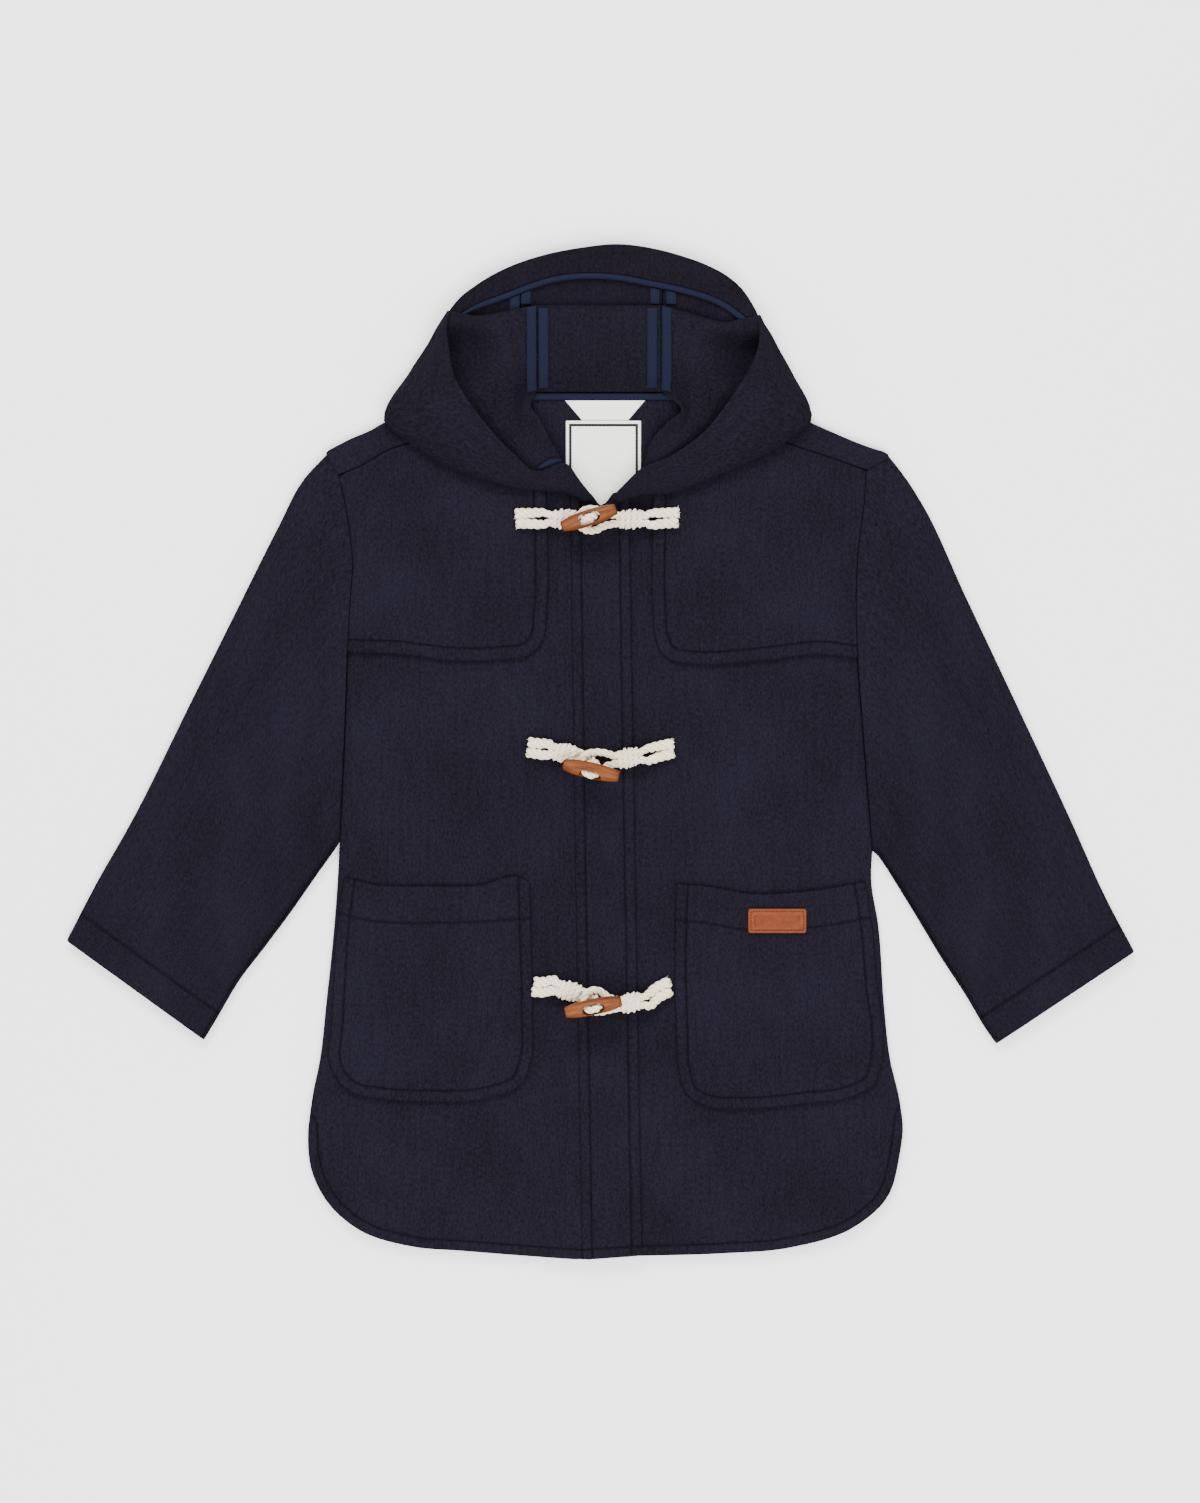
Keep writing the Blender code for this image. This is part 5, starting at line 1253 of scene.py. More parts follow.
def smooth_curve(points, per_span):
    """A curve that passes evenly through points: its slope at each is half the way between its neighbours."""
    rows = np.asarray(points, float)
    rows = np.vstack([2 * rows[0] - rows[1], rows, 2 * rows[-1] - rows[-2]])
    line = []
    for a, b, c, d in zip(rows, rows[1:], rows[2:], rows[3:]):
        for t in np.arange(per_span) / per_span:
            line.append(0.5 * (2 * b + (c - a) * t + (2 * a - 5 * b + 4 * c - d) * t * t
                               + (3 * b - a - 3 * c + d) * t ** 3))
    return np.array(line + [rows[-2]])


def hood_section(row):
    """A hood side's section, as a smooth line of points from front edge to inner edge."""
    front, fold = Vector(row[0:3]), Vector(row[3:6])
    floor_z = row[6]
    roll, inner = Vector(row[7:10]), Vector(row[10:13])
    over = fold - front
    width = over.to_2d().length
    turn = min(fold.z - floor_z, 0.35 * width)
    out = over.to_2d().normalized().to_3d()
    back = (roll - fold).to_2d().to_3d()
    top = front + over * 0.5
    top.z = blend(front.z, fold.z, 0.36) + 0.04 * width
    high = fold - out * turn * 0.8
    high.z = fold.z + turn * 0.9
    low = fold + back.normalized() * turn * 0.9
    low.z = floor_z + 0.1
    floor_point = fold + back * 0.52
    floor_point.z = floor_z
    beside = roll.lerp(inner, 0.62)
    beside.z = blend(roll.z, inner.z, 0.86)
    return smooth_curve([front, top, high, fold, low, floor_point, roll, beside, inner], 6)


# %% Hood sides
def make_hood_side(name, table):
    rows = refine(np.array([hood_section(row) for row in table]), 3.0)
    across = rimmed(running_length(rows.transpose(1, 0, 2))[-1], 3.2)
    rows = read_at(rows.transpose(1, 0, 2), across).transpose(1, 0, 2)
    rows = read_at(rows, rimmed(running_length(rows)[-1], 3.2))
    from_front = running_length(rows.transpose(1, 0, 2))
    free = smooth_step(from_front / 10.0) * smooth_step((from_front[-1] - from_front) / 30.0)
    rows[:, :, 2] += 0.9 * (ripple(rows[:, :, 0], rows[:, :, 1], HOOD_SEED) * free)
    obj = add_cloth(name + "_cloth", skin(rows), WOOL_HOOD_PAINTED_DARKER, (name,), WOOL, 0.0)
    print(name, ":", rows.shape[0] * rows.shape[1], "points")


make_hood_side("hood_side_right", HOOD_SIDE_RIGHT)
make_hood_side("hood_side_left", HOOD_SIDE_LEFT)

# %% Centre strip inside the hood
#   y and z of its middle line, from the neck seam up to its fold
HOOD_CENTRE_PATH = (
    (237.2, 3.6), (240.5, 5.0), (246.0, 7.6), (258.0, 10.4), (276.0, 13.0), (287.0, 13.9),
    (291.2, 13.3), (292.6, 11.2), (292.4, 10.4))
HOOD_CENTRE_X = (-41.62, 39.92)

def centre_ripple(x, y):
    """Unevenness of the strip, calm at the neck and at its fold."""
    calm = smooth_step((y - 238.0) / 8.0) * smooth_step((288.0 - y) / 8.0)
    return 0.9 * calm * ripple(x, y, HOOD_SEED)


path = refine(HOOD_CENTRE_PATH, 1.2)
path = read_at(path, rimmed(running_length(path)[-1], 2.4))
across = HOOD_CENTRE_X[0] + rimmed(HOOD_CENTRE_X[1] - HOOD_CENTRE_X[0], 4.0)
rows = np.array([[(x, y, z) for x in across] for y, z in path])
rows[:, :, 2] += centre_ripple(rows[:, :, 0], rows[:, :, 1])
centre = add_cloth("hood_centre_cloth", skin(rows), WOOL_HOOD_PAINTED_DARKER, ("hood_centre",), WOOL, 0.0)

# %% Outlines of the hood's folded front and its facing
HOOD_TOP_ARC = (
    (-101.8, 286.0), (-98.6, 291.6), (-93.4, 298.0), (-80.9, 307.9), (-66.3, 316.5), (-50.5, 323.1),
    (-32.0, 328.4), (-10.2, 332.3), (9.6, 334.3), (36.6, 331.0), (53.8, 326.4), (71.6, 319.8),
    (83.5, 313.2), (92.7, 305.2), (100.0, 294.7), (105.4, 284.0))
HOOD_FOLD_ARC = (
    (-99.5, 282.4), (-90.0, 281.9), (-74.9, 284.5), (-62.4, 286.0), (-52.8, 286.6), (-36.0, 286.6),
    (12.9, 286.6), (40.6, 286.0), (50.5, 285.6), (65.7, 282.5), (83.5, 279.0), (99.0, 277.6), (103.6, 279.0))
HOOD_SEAM_X = (-52.8, 40.9)
FACING_INNER_ARC = (
    (-97.6, 284.6), (-80.9, 294.4), (-61.7, 301.9), (-45.2, 308.3), (-32.0, 312.3), (-7.6, 314.9),
    (12.9, 313.6), (30.7, 310.3), (50.5, 306.3), (65.7, 302.3), (81.5, 295.8), (92.7, 287.8),
    (101.3, 281.0))
FACING_TAPE_WIDTH = 3.7


def under_brim(x, y):
    """Underside of the hood front where it lies back; it climbs to the corners of the opening."""
    return 5.9 + 1.3 * smooth_step((np.abs(np.asarray(x) - 2.0) - 60.0) / 38.0)


def over_brim(x, y):
    return under_brim(x, y) + WOOL + LAY


def arc_y(arc, x):
    """The y of an arc at values of x."""
    return np.interp(x, *np.asarray(arc).T)


def arc_part(arc, low_x, high_x):
    """The stretch of an arc between two x values, with its cut ends."""
    arc = refine(arc, STEP)
    part = [(x, y) for x, y in arc if low_x < x < high_x]
    if arc[0][0] < low_x:
        part.insert(0, (low_x, arc_y(arc, low_x)))
    if arc[-1][0] > high_x:
        part.append((high_x, arc_y(arc, high_x)))
    return np.array(part)


# %% The hood's folded front
TUCK = 7.0                    # how far it reaches under the ends of the hood's sides


def brim_swell(points):
    """The folded-back front is softly padded, with a round lower edge."""
    x, y = points[:, 0], points[:, 1]
    above = y - arc_y(HOOD_FOLD_ARC, x)
    swell = 0.7 * smooth_step(above / 7.0) * (1 - smooth_step((above - 12.0) / 10.0))
    return swell + 0.5 * ripple(x, y, HOOD_SEED)


for name, low_x, high_x in (("hood_brim_right", -200.0, HOOD_SEAM_X[0] - HALF_SEAM),
                            ("hood_brim_centre", HOOD_SEAM_X[0] + HALF_SEAM, HOOD_SEAM_X[1] - HALF_SEAM),
                            ("hood_brim_left", HOOD_SEAM_X[1] + HALF_SEAM, 200.0)):
    upper, lower = arc_part(HOOD_TOP_ARC, low_x, high_x), arc_part(HOOD_FOLD_ARC, low_x, high_x)
    lower[:, 1] -= TUCK * smooth_step((np.abs(lower[:, 0]) - 44.0) / 10.0)
    cloth_panel(name, (upper, lower[::-1]), under_brim, finish=WOOL_LINING_SIDE,
                cell=4.0, extra=brim_swell)

# %% The hood's facing
facing_top = refine(HOOD_TOP_ARC, STEP) - (0.0, 0.35)
facing_foot = refine(FACING_INNER_ARC, STEP)


def facing_swell(points):
    """The facing swells away from its sewn foot."""
    swell = 0.45 * smooth_step(distance_to(points, facing_foot)[0] / 3.0)
    return swell + 0.5 * ripple(points[:, 0], points[:, 1], HOOD_SEED)


cloth_panel("hood_facing", (facing_top, facing_foot[::-1]), over_brim, finish=WOOL_LINING_SIDE,
            cell=4.0, extra=facing_swell)

# %% [markdown]
# ## Crown
# The rest of the hood is folded away under its front. None of it can be seen from above, and from
# behind only the edges of the stacked layers show. So it is one solid with rounded layers: each is
# a flat face, extruded, and its rims are bevelled round.

# %% Crown layers
CROWN = (
    (-95.0, 287.5), (-90.0, 292.5), (-82.0, 298.5), (-72.0, 304.0), (-50.0, 314.0), (-20.0, 322.0),
    (10.0, 325.0), (40.0, 321.0), (66.0, 313.0), (86.0, 300.0), (93.0, 293.0), (98.0, 285.5), (80.0, 284.0),
    (60.0, 287.0), (38.0, 283.0), (37.0, 264.0), (28.0, 258.5), (0.0, 258.0), (-30.0, 258.5), (-39.0, 264.0),
    (-40.0, 283.0), (-62.0, 287.0), (-80.0, 284.5))
CROWN_LAYERS = (              # bottom and top of each layer, and how far it is drawn in from the outline
    (0.05, 2.75, 0.3), (2.7, 5.4, 1.6), (5.35, 8.2, 0.8))
CROWN_TOP_LAYER_Y = 281.0     # the topmost layer ends here, under the centre strip
CROWN_TOP_LAYER_X = 42.0      # and spans this far to both sides
CROWN_ROUND = 1.1
SAME_HEIGHT = 1e-4


def round_edges(bm, edges, offset, segments):
    """Bevel edges round."""
    bmesh.ops.bevel(bm, geom=edges, offset=offset, offset_type="OFFSET", segments=segments, profile=0.5,
                    affect="EDGES", material=-1, clamp_overlap=True)


outline = refine(CROWN, 6.0, closed=True)[:-1]
crown = bmesh.new()
for low, high, drawn_in in CROWN_LAYERS:
    shape = outline
    if high == CROWN_LAYERS[-1][1]:
        shape = [(x, min(y, CROWN_TOP_LAYER_Y)) for x, y in outline if abs(x) < CROWN_TOP_LAYER_X]
        shape = join(np.array(shape))
    face = crown.faces.new([crown.verts.new((x, y, low)) for x, y in shape])
    bmesh.ops.inset_region(crown, faces=[face], thickness=drawn_in, use_boundary=True)
    rim = [f for f in crown.faces if f is not face and len(f.verts) == 4 and f.verts[0].co.z == low
           and any(e.is_boundary for e in f.edges)]
    bmesh.ops.delete(crown, geom=rim, context="FACES")
    made = bmesh.ops.extrude_face_region(crown, geom=[face])["geom"]
    top = [g for g in made if isinstance(g, bmesh.types.BMVert)]
    bmesh.ops.translate(crown, vec=(0.0, 0.0, high - low), verts=top)
    rims = []
    for edge in crown.edges:
        a, b = (vert.co.z for vert in edge.verts)
        if not edge.is_manifold or abs(a - b) >= SAME_HEIGHT or min(a, b) < low - SAME_HEIGHT:
            continue
        if abs(edge.link_faces[0].normal.z - edge.link_faces[1].normal.z) > 0.5:
            rims.append(edge)
    round_edges(crown, rims, CROWN_ROUND, 4)
loose = [v for v in crown.verts if not v.link_faces]
bmesh.ops.delete(crown, geom=loose, context="VERTS")
bmesh.ops.recalc_face_normals(crown, faces=crown.faces)
crown_area = sum(f.calc_area() for f in crown.faces) / 2 * MM * MM
cloth_layers(crown)
grain_at = [(v.co.x, v.co.y + v.co.z) for v in crown.verts]
write_layers(crown, list(crown.verts), [1.0] * len(grain_at), [NO_STITCH] * len(grain_at), grain_at)
obj = add_piece("hood_crown_cloth", crown, WOOL_HOOD_PAINTED_DARKER, ("hood_crown",))
print("crown:", len(obj.data.polygons), "faces,", round(crown_area, 4), "m2 of cloth")

# %% [markdown]
# ## Binding tapes, label, hanger and leather tag
# The hood's seams are covered with narrow blue tape, sewn along both its edges. Each tape is laid
# on the surface that it covers: its points are read off that surface and moved out. The neck label
# and the hanger tape lie on the inside of the back, both plain. The leather tag is a thicker piece
# with round corners, sewn all round and pressed with a plain frame.

# %% Tapes on the hood's inside
TAPE_ABOVE = WOOL / 2 + LAY + TAPE / 2 + 0.2
TAPE_STITCH = 0.9             # stitches lie this far inside a tape's edges
tapes = {"centre": [], "right": [], "left": [], "brim": [], "neck": []}


def lay_tape(name, rows, group, thickness=TAPE):
    """A tape along rows of points of its middle line, pressed in where it is sewn."""
    rows = np.asarray(rows, float)
    rows = read_at(rows, rimmed(running_length(rows)[-1], 3.0))
    width = running_length(rows.transpose(1, 0, 2))[-1]
    margin = np.array([0.0, TAPE_STITCH / 2, TAPE_STITCH, 1.3])
    across = np.concatenate([margin, [width / 2], width - margin[::-1]])
    rows = read_at(rows.transpose(1, 0, 2), across).transpose(1, 0, 2)
    near = np.minimum(np.abs(across - TAPE_STITCH), np.abs(width - TAPE_STITCH - across))
    sewn = np.isin(across, (TAPE_STITCH, width - TAPE_STITCH))
    rows[:, :, 2] += np.where(sewn, -0.12, 0.0) + 0.1 * np.sin(math.pi * across / width)
    bm = skin(rows, stitch=np.tile(near, (len(rows), 1)))
    tapes[group].append(add_cloth(name + "_twill", bm, TAPE_BLUE, (name,), thickness, 0.0))
    for column in (2, 6):
        STITCH_LINES.append((rows[:, column] + (0.0, 0.0, thickness / 2), "blue"))


centre_line = refine(HOOD_CENTRE_PATH, 1.2)
to_fold = running_length(centre_line)[-1] - running_length(centre_line)
centre_line = centre_line[(centre_line[:, 0] > 238.4) & (to_fold > 2.6)]
for name, low_x, high_x in (("tape_seam_right_inner", -40.6, -34.3), ("tape_seam_left_inner", 30.7, 37.3)):
    places = np.linspace(low_x, high_x, 5)
    surface = np.array([[(x, y, z + centre_ripple(x, y)) for x in places] for y, z in centre_line])
    lay_tape(name, surface + (0.0, 0.0, TAPE_ABOVE), "centre")
for name, table, group in (("tape_seam_right_outer", HOOD_SIDE_RIGHT, "right"),
                           ("tape_seam_left_outer", HOOD_SIDE_LEFT, "left")):
    rows = []
    for section in refine(np.array([hood_section(row) for row in table]), 3.0)[1:]:
        inner_first = section[::-1]
        if inner_first[0, 1] < 237.0:
            continue
        reach = np.abs(inner_first[:, 0] - inner_first[0, 0])
        near = inner_first[:1 + int(np.argmax(reach > 9.0))]
        rows.append(read_at(near, np.array([0.6, 2.2, 3.9, 5.4, 6.8])))
    lay_tape(name, np.array(rows) + (0.0, 0.0, TAPE_ABOVE + 0.25), group)

# %% Tapes on the folded front
#   name, low and high x, y of the tape's foot
BRIM_TAPES = (
    ("tape_brim_right_outer", -59.7, -53.2, 290.5), ("tape_brim_right_inner", -52.4, -45.9, 294.4),
    ("tape_brim_left_inner", 32.7, 38.8, 294.4), ("tape_brim_left_outer", 43.2, 49.8, 294.4))

for name, low_x, high_x, foot in BRIM_TAPES:
    places = np.linspace(low_x, high_x, 5)
    top = arc_y(FACING_INNER_ARC, places) - FACING_TAPE_WIDTH - 2 * SEAM
    rows = []
    for t in np.linspace(0.0, 1.0, 12):
        y = blend(foot, top, t)
        z = over_brim(places, y) + brim_swell(np.column_stack([places, y])) + TAPE / 2
        rows.append(np.column_stack([places, y, z]))
    lay_tape(name, rows, "brim")
arc = refine(FACING_INNER_ARC, 3.0)
beside = np.gradient(arc, axis=0)[:, ::-1] * (1.0, -1.0)
beside /= np.linalg.norm(beside, axis=1)[:, None]
rows = []
for place, down in zip(arc, beside):
    width = FACING_TAPE_WIDTH * blend(0.4, 1.0, smooth_step((place[0] + 98.0) / 30.0))
    line = np.array([place + down * (0.1 + width * t) for t in (0.0, 0.3, 0.7, 1.0)])
    z = over_brim(line[:, 0], line[:, 1]) + brim_swell(line) + WOOL / 2 + 0.2
    rows.append(np.column_stack([line, z]))
lay_tape("tape_facing", rows, "brim", WOOL + 0.4)

# %% Tape over the neck seam, and the sliver of tape at the front corner
neck_x = np.linspace(-47.2, 50.5, 30)
rows = [[(x, y, WOOL + SEAM + TAPE / 2) for y in np.linspace(231.9, 236.2, 5)] for x in neck_x]
lay_tape("tape_neck", rows, "neck")
corner = (((-41.0, 184.6, 14.9), (-40.4, 187.6, 14.9)), ((-33.0, 187.2, 14.2), (-32.4, 192.2, 14.2)),
          ((-26.0, 189.4, 13.2), (-25.4, 192.2, 13.2)))
rows = refine(corner, 2.0)
bm = skin(rows)
tapes["right"].append(add_cloth("tape_corner_twill", bm, TAPE_BLUE, ("tape_corner",), TAPE, 0.0))

# %% Label and hanger tape, both bare
LABEL = ((-22.8, 160.5), (26.7, 160.5), (26.7, 218.1), (-22.8, 218.1))
HANGER = ((-12.2, 218.4), (18.2, 218.4), (29.4, 231.5), (-23.4, 231.5))
SATIN = TAPE * 0.8


def flat_label(name, corners, bend):
    """A small flat piece with straight sides, on the back. Returns its height function."""
    sides = [refine([a, b], 3.0) for a, b in zip(corners, corners[1:] + corners[:1])]
    outline = np.vstack([side[:-1] for side in sides] + [sides[0][:1]])
    bm, height, _ = panel_sheet([outline], lambda x, y: WOOL + SEAM + bend(x, y), cell=4.0)
    size = flat_size(bm)
    obj = add_cloth(name + "_satin", bm, LABEL_SATIN, (name,), SATIN, 1.0)
    return height


def hanger_bend(x, y):
    return 0.12 * ripple(x, y, LABEL_SEED)


def label_bend(x, y):
    """A slanting crease, and a foot that rises a little."""
    crease = 0.35 * np.exp(-((x + y - 196.0) / 9.0) ** 2)
    return crease + 0.3 * smooth_step((176.0 - y) / 14.0) + hanger_bend(x, y)


label_height = flat_label("neck_label", LABEL, label_bend)
flat_label("hanger_tape", HANGER, hanger_bend)
(left, _), (right, top) = LABEL_FRAME
foot = LABEL[0][1] + 1.0
border = [(left, foot), (left, top), (right, top), (right, foot)]
for a, b in zip(border, border[1:]):
    line = read_at(np.array([a, b]), np.arange(0.0, math.dist(a, b), THREAD_STEP))
    STITCH_LINES.append((np.column_stack([line, label_height(line) + SATIN]), "black"))

# %% Leather tag
CLEARANCE = 0.35              # room for the swelling of the cloth under a hard piece or a cord
TAG_CORNER = 1.5
TAG_STITCH = 1.9              # its stitches lie this far inside its edge
TAG_FRAME = 3.8               # and from here on its middle is pressed down a little, and plain


def rounded_rectangle(centre, size, corner):
    half = np.array(size) / 2
    points = []
    for sx, sy, start in ((1, 1, 0.0), (-1, 1, 0.25), (-1, -1, 0.5), (1, -1, 0.75)):
        for step in range(5):
            angle = math.tau * (start + step / 16)
            points.append(np.array(centre) + (half - corner) * (sx, sy)
                          + corner * np.array([math.cos(angle), math.sin(angle)]))
    return np.array(points + points[:1])


tag_outline = rounded_rectangle(TAG_CENTRE, TAG_SIZE, TAG_CORNER)


def under_tag(x, y):
    return under_pocket_left(x, y) + WOOL + LAY + CLEARANCE


def tag_relief(points):
    """A low rim, a furrow for the stitches and a shallow pressed field."""
    distance = distance_to(points, tag_outline)[0]
    furrow = -0.22 * np.exp(-((distance - TAG_STITCH) / 0.45) ** 2)
    frame = -0.2 * smooth_step((distance - TAG_FRAME + 0.4) / 0.8)
    crown = 0.5 * smooth_step(distance / 6.0) * (1 - ((points[:, 0] - TAG_CENTRE[0]) / TAG_SIZE[0] * 2) ** 2)
    return furrow + frame + crown


bm = bmesh.new()
cloth_layers(bm)
shape = join(tag_outline)
bm.faces.new([bm.verts.new((x, y, 0.0)) for x, y in shape])
cut_lattice(bm, 1.7)
cut_levels(bm, tag_outline, [0.35, 0.8, 1.45, 1.9, 2.4, 3.4, 3.6, 3.8, 4.0, 4.2])
bmesh.ops.remove_doubles(bm, verts=bm.verts, dist=0.05)
points = np.array([v.co[:2] for v in bm.verts])
distance = distance_to(points, tag_outline)[0]
for vert, z in zip(bm.verts, under_tag(points[:, 0], points[:, 1]) + tag_relief(points)):
    vert.co.z = z
write_layers(bm, list(bm.verts), 0.62 + 0.38 * np.clip(distance / 0.8, 0, 1), distance, points)
pressed = bm.verts.layers.float.get("level")
pressed_share = np.maximum(0.22 * smooth_step((distance - TAG_FRAME + 0.4) / 0.8),
                           0.45 * np.exp(-((distance - TAG_STITCH) / 0.5) ** 2))
pressed_share = np.maximum(pressed_share, 0.6 * np.exp(-(distance / 0.35) ** 2))
for vert, share in zip(bm.verts, pressed_share):
    vert[pressed] = float(share)
bmesh.ops.recalc_face_normals(bm, faces=bm.faces)
tag_size = flat_size(bm)
tag = add_cloth("leather_tag_piece", bm, TAG_LEATHER, ("leather_tag",), LEATHER, 1.0)
tag.data.attributes["level"].name = "pressed"
stitch_line = rounded_rectangle(TAG_CENTRE, np.array(TAG_SIZE) - 2 * TAG_STITCH, 0.6)
stitch_line = read_at(stitch_line, np.arange(0.0, running_length(stitch_line)[-1], THREAD_STEP))
high = under_tag(stitch_line[:, 0], stitch_line[:, 1]) + tag_relief(stitch_line) + LEATHER
STITCH_LINES.append((np.column_stack([stitch_line, high]), "brown"))
print("tapes:", sum(len(group) for group in tapes.values()), "label, hanger and tag made")

# %% [markdown]
# ## Stitches
# Every seam that shows is really sewn: each stitch is a tiny ellipsoid with a few faces, laid along
# the lines gathered above and sunk half its thickness into the cloth. All the stitches of one
# thread are joined into one piece.

# %% Sew
#   thread: pitch, length, thickness, material, slot
STITCHES = {
    "navy": (3.3, 2.7, 0.62, THREAD_NAVY, "wool_body"),
    "blue": (2.3, 1.7, 0.42, THREAD_BLUE, "tape"),
    "black": (2.3, 1.9, 0.8, THREAD_BLACK, "label"),
    "brown": (1.9, 1.3, 0.85, THREAD_BROWN, "leather"),
}


def one_stitch(length, thick):
    """An ellipsoid of a few faces, along X."""
    bm = bmesh.new()
    along_x = Matrix.Rotation(math.pi / 2, 4, "Y")
    bmesh.ops.create_uvsphere(bm, u_segments=6, v_segments=4, radius=0.5, matrix=along_x)
    bmesh.ops.scale(bm, vec=(length, thick, thick), verts=bm.verts)
    mesh = bpy.data.meshes.new("stitch")
    bm.to_mesh(mesh)
    bm.free()
    return mesh


def sew(name, lines, pitch, length, thick, finish, slot):
    """One joined piece of stitches along lines of 3D points."""
    stitch = one_stitch(length, thick)
    bm = bmesh.new()
    count = 0
    for line in lines:
        places = np.arange(pitch / 2, running_length(line)[-1] - pitch / 3, pitch)
        for place, ahead in zip(read_at(line, places), read_at(line, places + 0.4)):
            direction = Vector(ahead - place)
            if direction.length < 0.05:
                continue
            first = len(bm.verts)
            bm.from_mesh(stitch)
            bm.verts.ensure_lookup_table()
            turn = direction.to_track_quat("X", "Z").to_matrix().to_4x4()
            matrix = Matrix.Translation(Vector(place) - Vector((0, 0, 0.2 * thick))) @ turn
            for vert in bm.verts[first:]:
                vert.co = matrix @ vert.co
            count += 1
    bpy.data.meshes.remove(stitch)
    add_piece(name, bm, finish)
    print(name, ":", count, "stitches")


for kind, sewing in STITCHES.items():
    sew("stitches_" + kind, [line for line, used in STITCH_LINES if used == kind and len(line) > 3], *sewing)

# %% [markdown]
# ## Cord
# The toggle cord is three strands laid round each other. Each strand is a tube whose middle line
# winds round the cord's own; the light on three such tubes gives the row of pearls that is typical
# of rope. The cord is flattened and a little spread where its two runs are sewn to the coat, and
# its ends are cut square and frayed.

# %% Frames, tubes and twisted cord
def carried_frames(path):
    """Two directions across a path at each of its points, turned as little as possible on the way."""
    ahead = np.gradient(path, axis=0)
    ahead /= np.linalg.norm(ahead, axis=1)[:, None]
    side = np.cross(ahead[0], (0.0, 0.0, 1.0))
    if np.linalg.norm(side) < 0.1:
        side = np.cross(ahead[0], (0.0, 1.0, 0.0))
    sides = []
    for direction in ahead:
        side = side - direction * (side @ direction)
        side = side / np.linalg.norm(side)
        sides.append(side)
    sides = np.array(sides)
    return sides, np.cross(ahead, sides)


def tube(bm, path, radius, around, closed_ends=True):
    """A tube along a path in a bmesh, its grain running along it."""
    side, up = carried_frames(path)
    radius = np.broadcast_to(np.asarray(radius, float), len(path))[:, None]
    if closed_ends:
        last = len(path) - 1
        order = np.concatenate([[0, 0], np.arange(len(path)), [last, last]])
        share = np.concatenate([[0.05, 0.7], np.ones(len(path)), [0.7, 0.05]])[:, None]
        push = np.concatenate([[-0.45, -0.3], np.zeros(len(path)), [0.3, 0.45]])[:, None]
        ahead = np.gradient(path, axis=0)
        ahead /= np.linalg.norm(ahead, axis=1)[:, None]
        path = path[order] + ahead[order] * push * radius[order]
        side, up, radius = side[order], up[order], radius[order] * share
    rows = [path + side * radius * math.cos(angle) + up * radius * math.sin(angle)
            for angle in np.linspace(0.0, math.tau, around + 1)]
    skin(rows, thin_rows=False, thin_columns=False, bm=bm)


STRAND_AWAY = 0.55            # a strand's middle from the cord's, as a share of the cord's radius
STRAND_RADIUS = 0.49          # and its own radius


def twisted_cord(path, radius, pitch, around=8, start=0.0, flat=None):
    """Three strands laid round each other along a path; radius is a number or one for each point."""
    bm = bmesh.new()
    radius = np.broadcast_to(np.asarray(radius, float), len(path))
    side, up = carried_frames(path)
    angle = running_length(path) / pitch * math.tau + start
    for strand in range(3):
        turn = (angle + strand * math.tau / 3)[:, None]
        middle = path + (side * np.cos(turn) + up * np.sin(turn)) * radius[:, None] * STRAND_AWAY
        if flat is not None:
            middle[:, 2] = path[:, 2] + (middle[:, 2] - path[:, 2]) * flat
        tube(bm, middle, radius * STRAND_RADIUS, around)
    return bm


# %% [markdown]
# ## Toggles
# Each toggle is a barrel turned on a lathe: its profile is spun round its axis. A slot with round
# ends goes through its middle, and the rim of the slot is broken with a small bevel. The toggle is
# made at the origin, where its grain can follow its axis, and then turned into its place.

# %% The fastenings' places
#   name, toggle centre x, y, its turn and its roll about its own axis in degrees, how far the
#   loop's eye lies beside its centre, then for the cord on the right and the one on the left the
#   tail's end x, y and the knot's outer end x, y and inner end x, y
TOGGLES = (
    ("top", -7.6, 153.0, 18.0, 0.0, -0.8,
     (-55.3, 153.4, -32.3, 153.1, -16.4, 152.7), (50.8, 153.9, 28.4, 152.7, 12.6, 152.7)),
    ("middle", -6.2, -12.4, -12.6, 52.0, 4.4,
     (-47.3, 2.8, -30.6, 0.4, -16.4, -2.7), (47.7, 2.2, 25.6, -3.1, 10.9, -5.3)),
    ("bottom", -4.9, -167.2, 11.5, 24.0, 3.0,
     (-43.6, -154.8, -27.8, -155.2, -13.8, -159.6), (45.4, -154.6, 27.0, -164.2, 13.4, -165.8)),
)
#   each cord's route between its two runs through the knot, from the toggle's middle: x, y, and z
#   from the surface. The right cord goes up through the slot, the left one round it as a loop.
STEM_ROUTE = (
    (-2.0, 2.7, 11.2), (1.0, 2.6, 12.3), (2.5, 1.6, 15.0),
    (2.6, 0.0, 19.6), (2.6, 0.0, 25.8), (1.9, 0.0, 28.2), (0.0, 0.0, 29.3), (-1.9, 0.0, 28.2),
    (-2.6, 0.0, 25.8), (-1.6, 0.0, 20.4), (0.1, -1.0, 16.4), (0.0, -2.2, 13.0), (-2.2, -2.7, 11.2))
LOOP_ROUTE = (
    (10.5, 4.0, 11.3), (6.0, 6.4, 11.4), (2.0, 7.3, 12.4), (-1.8, 6.8, 14.6), (-5.1, 4.6, 17.0),
    (-6.2, 1.6, 17.5), (-6.2, -1.6, 17.5), (-5.3, -4.6, 16.8), (-1.8, -6.8, 14.4), (2.0, -7.0, 12.4),
    (6.0, -6.2, 11.4), (10.5, -4.2, 11.3))
TOGGLE_HEIGHT = 25.4          # of the toggle's middle above the surface
STEM_CLEAR = 18.0             # above this the stem is inside the toggle and turns with it
TOGGLE_HALF = 19.0
TOGGLE_PROFILE = (            # place along the toggle from its end, and radius there
    (0.0, 2.5), (0.15, 3.0), (0.7, 3.45), (2.4, 3.85), (7.0, 4.75), (13.0, 5.25), (19.0, 5.4))
SLOT_REACH = 4.0
SLOT_HALF = 3.5
GRAIN_RADIUS = 5.0            # the grain goes round the toggle at this radius
GRAIN_SHIFT = 70.0            # and starts this much further on for each toggle


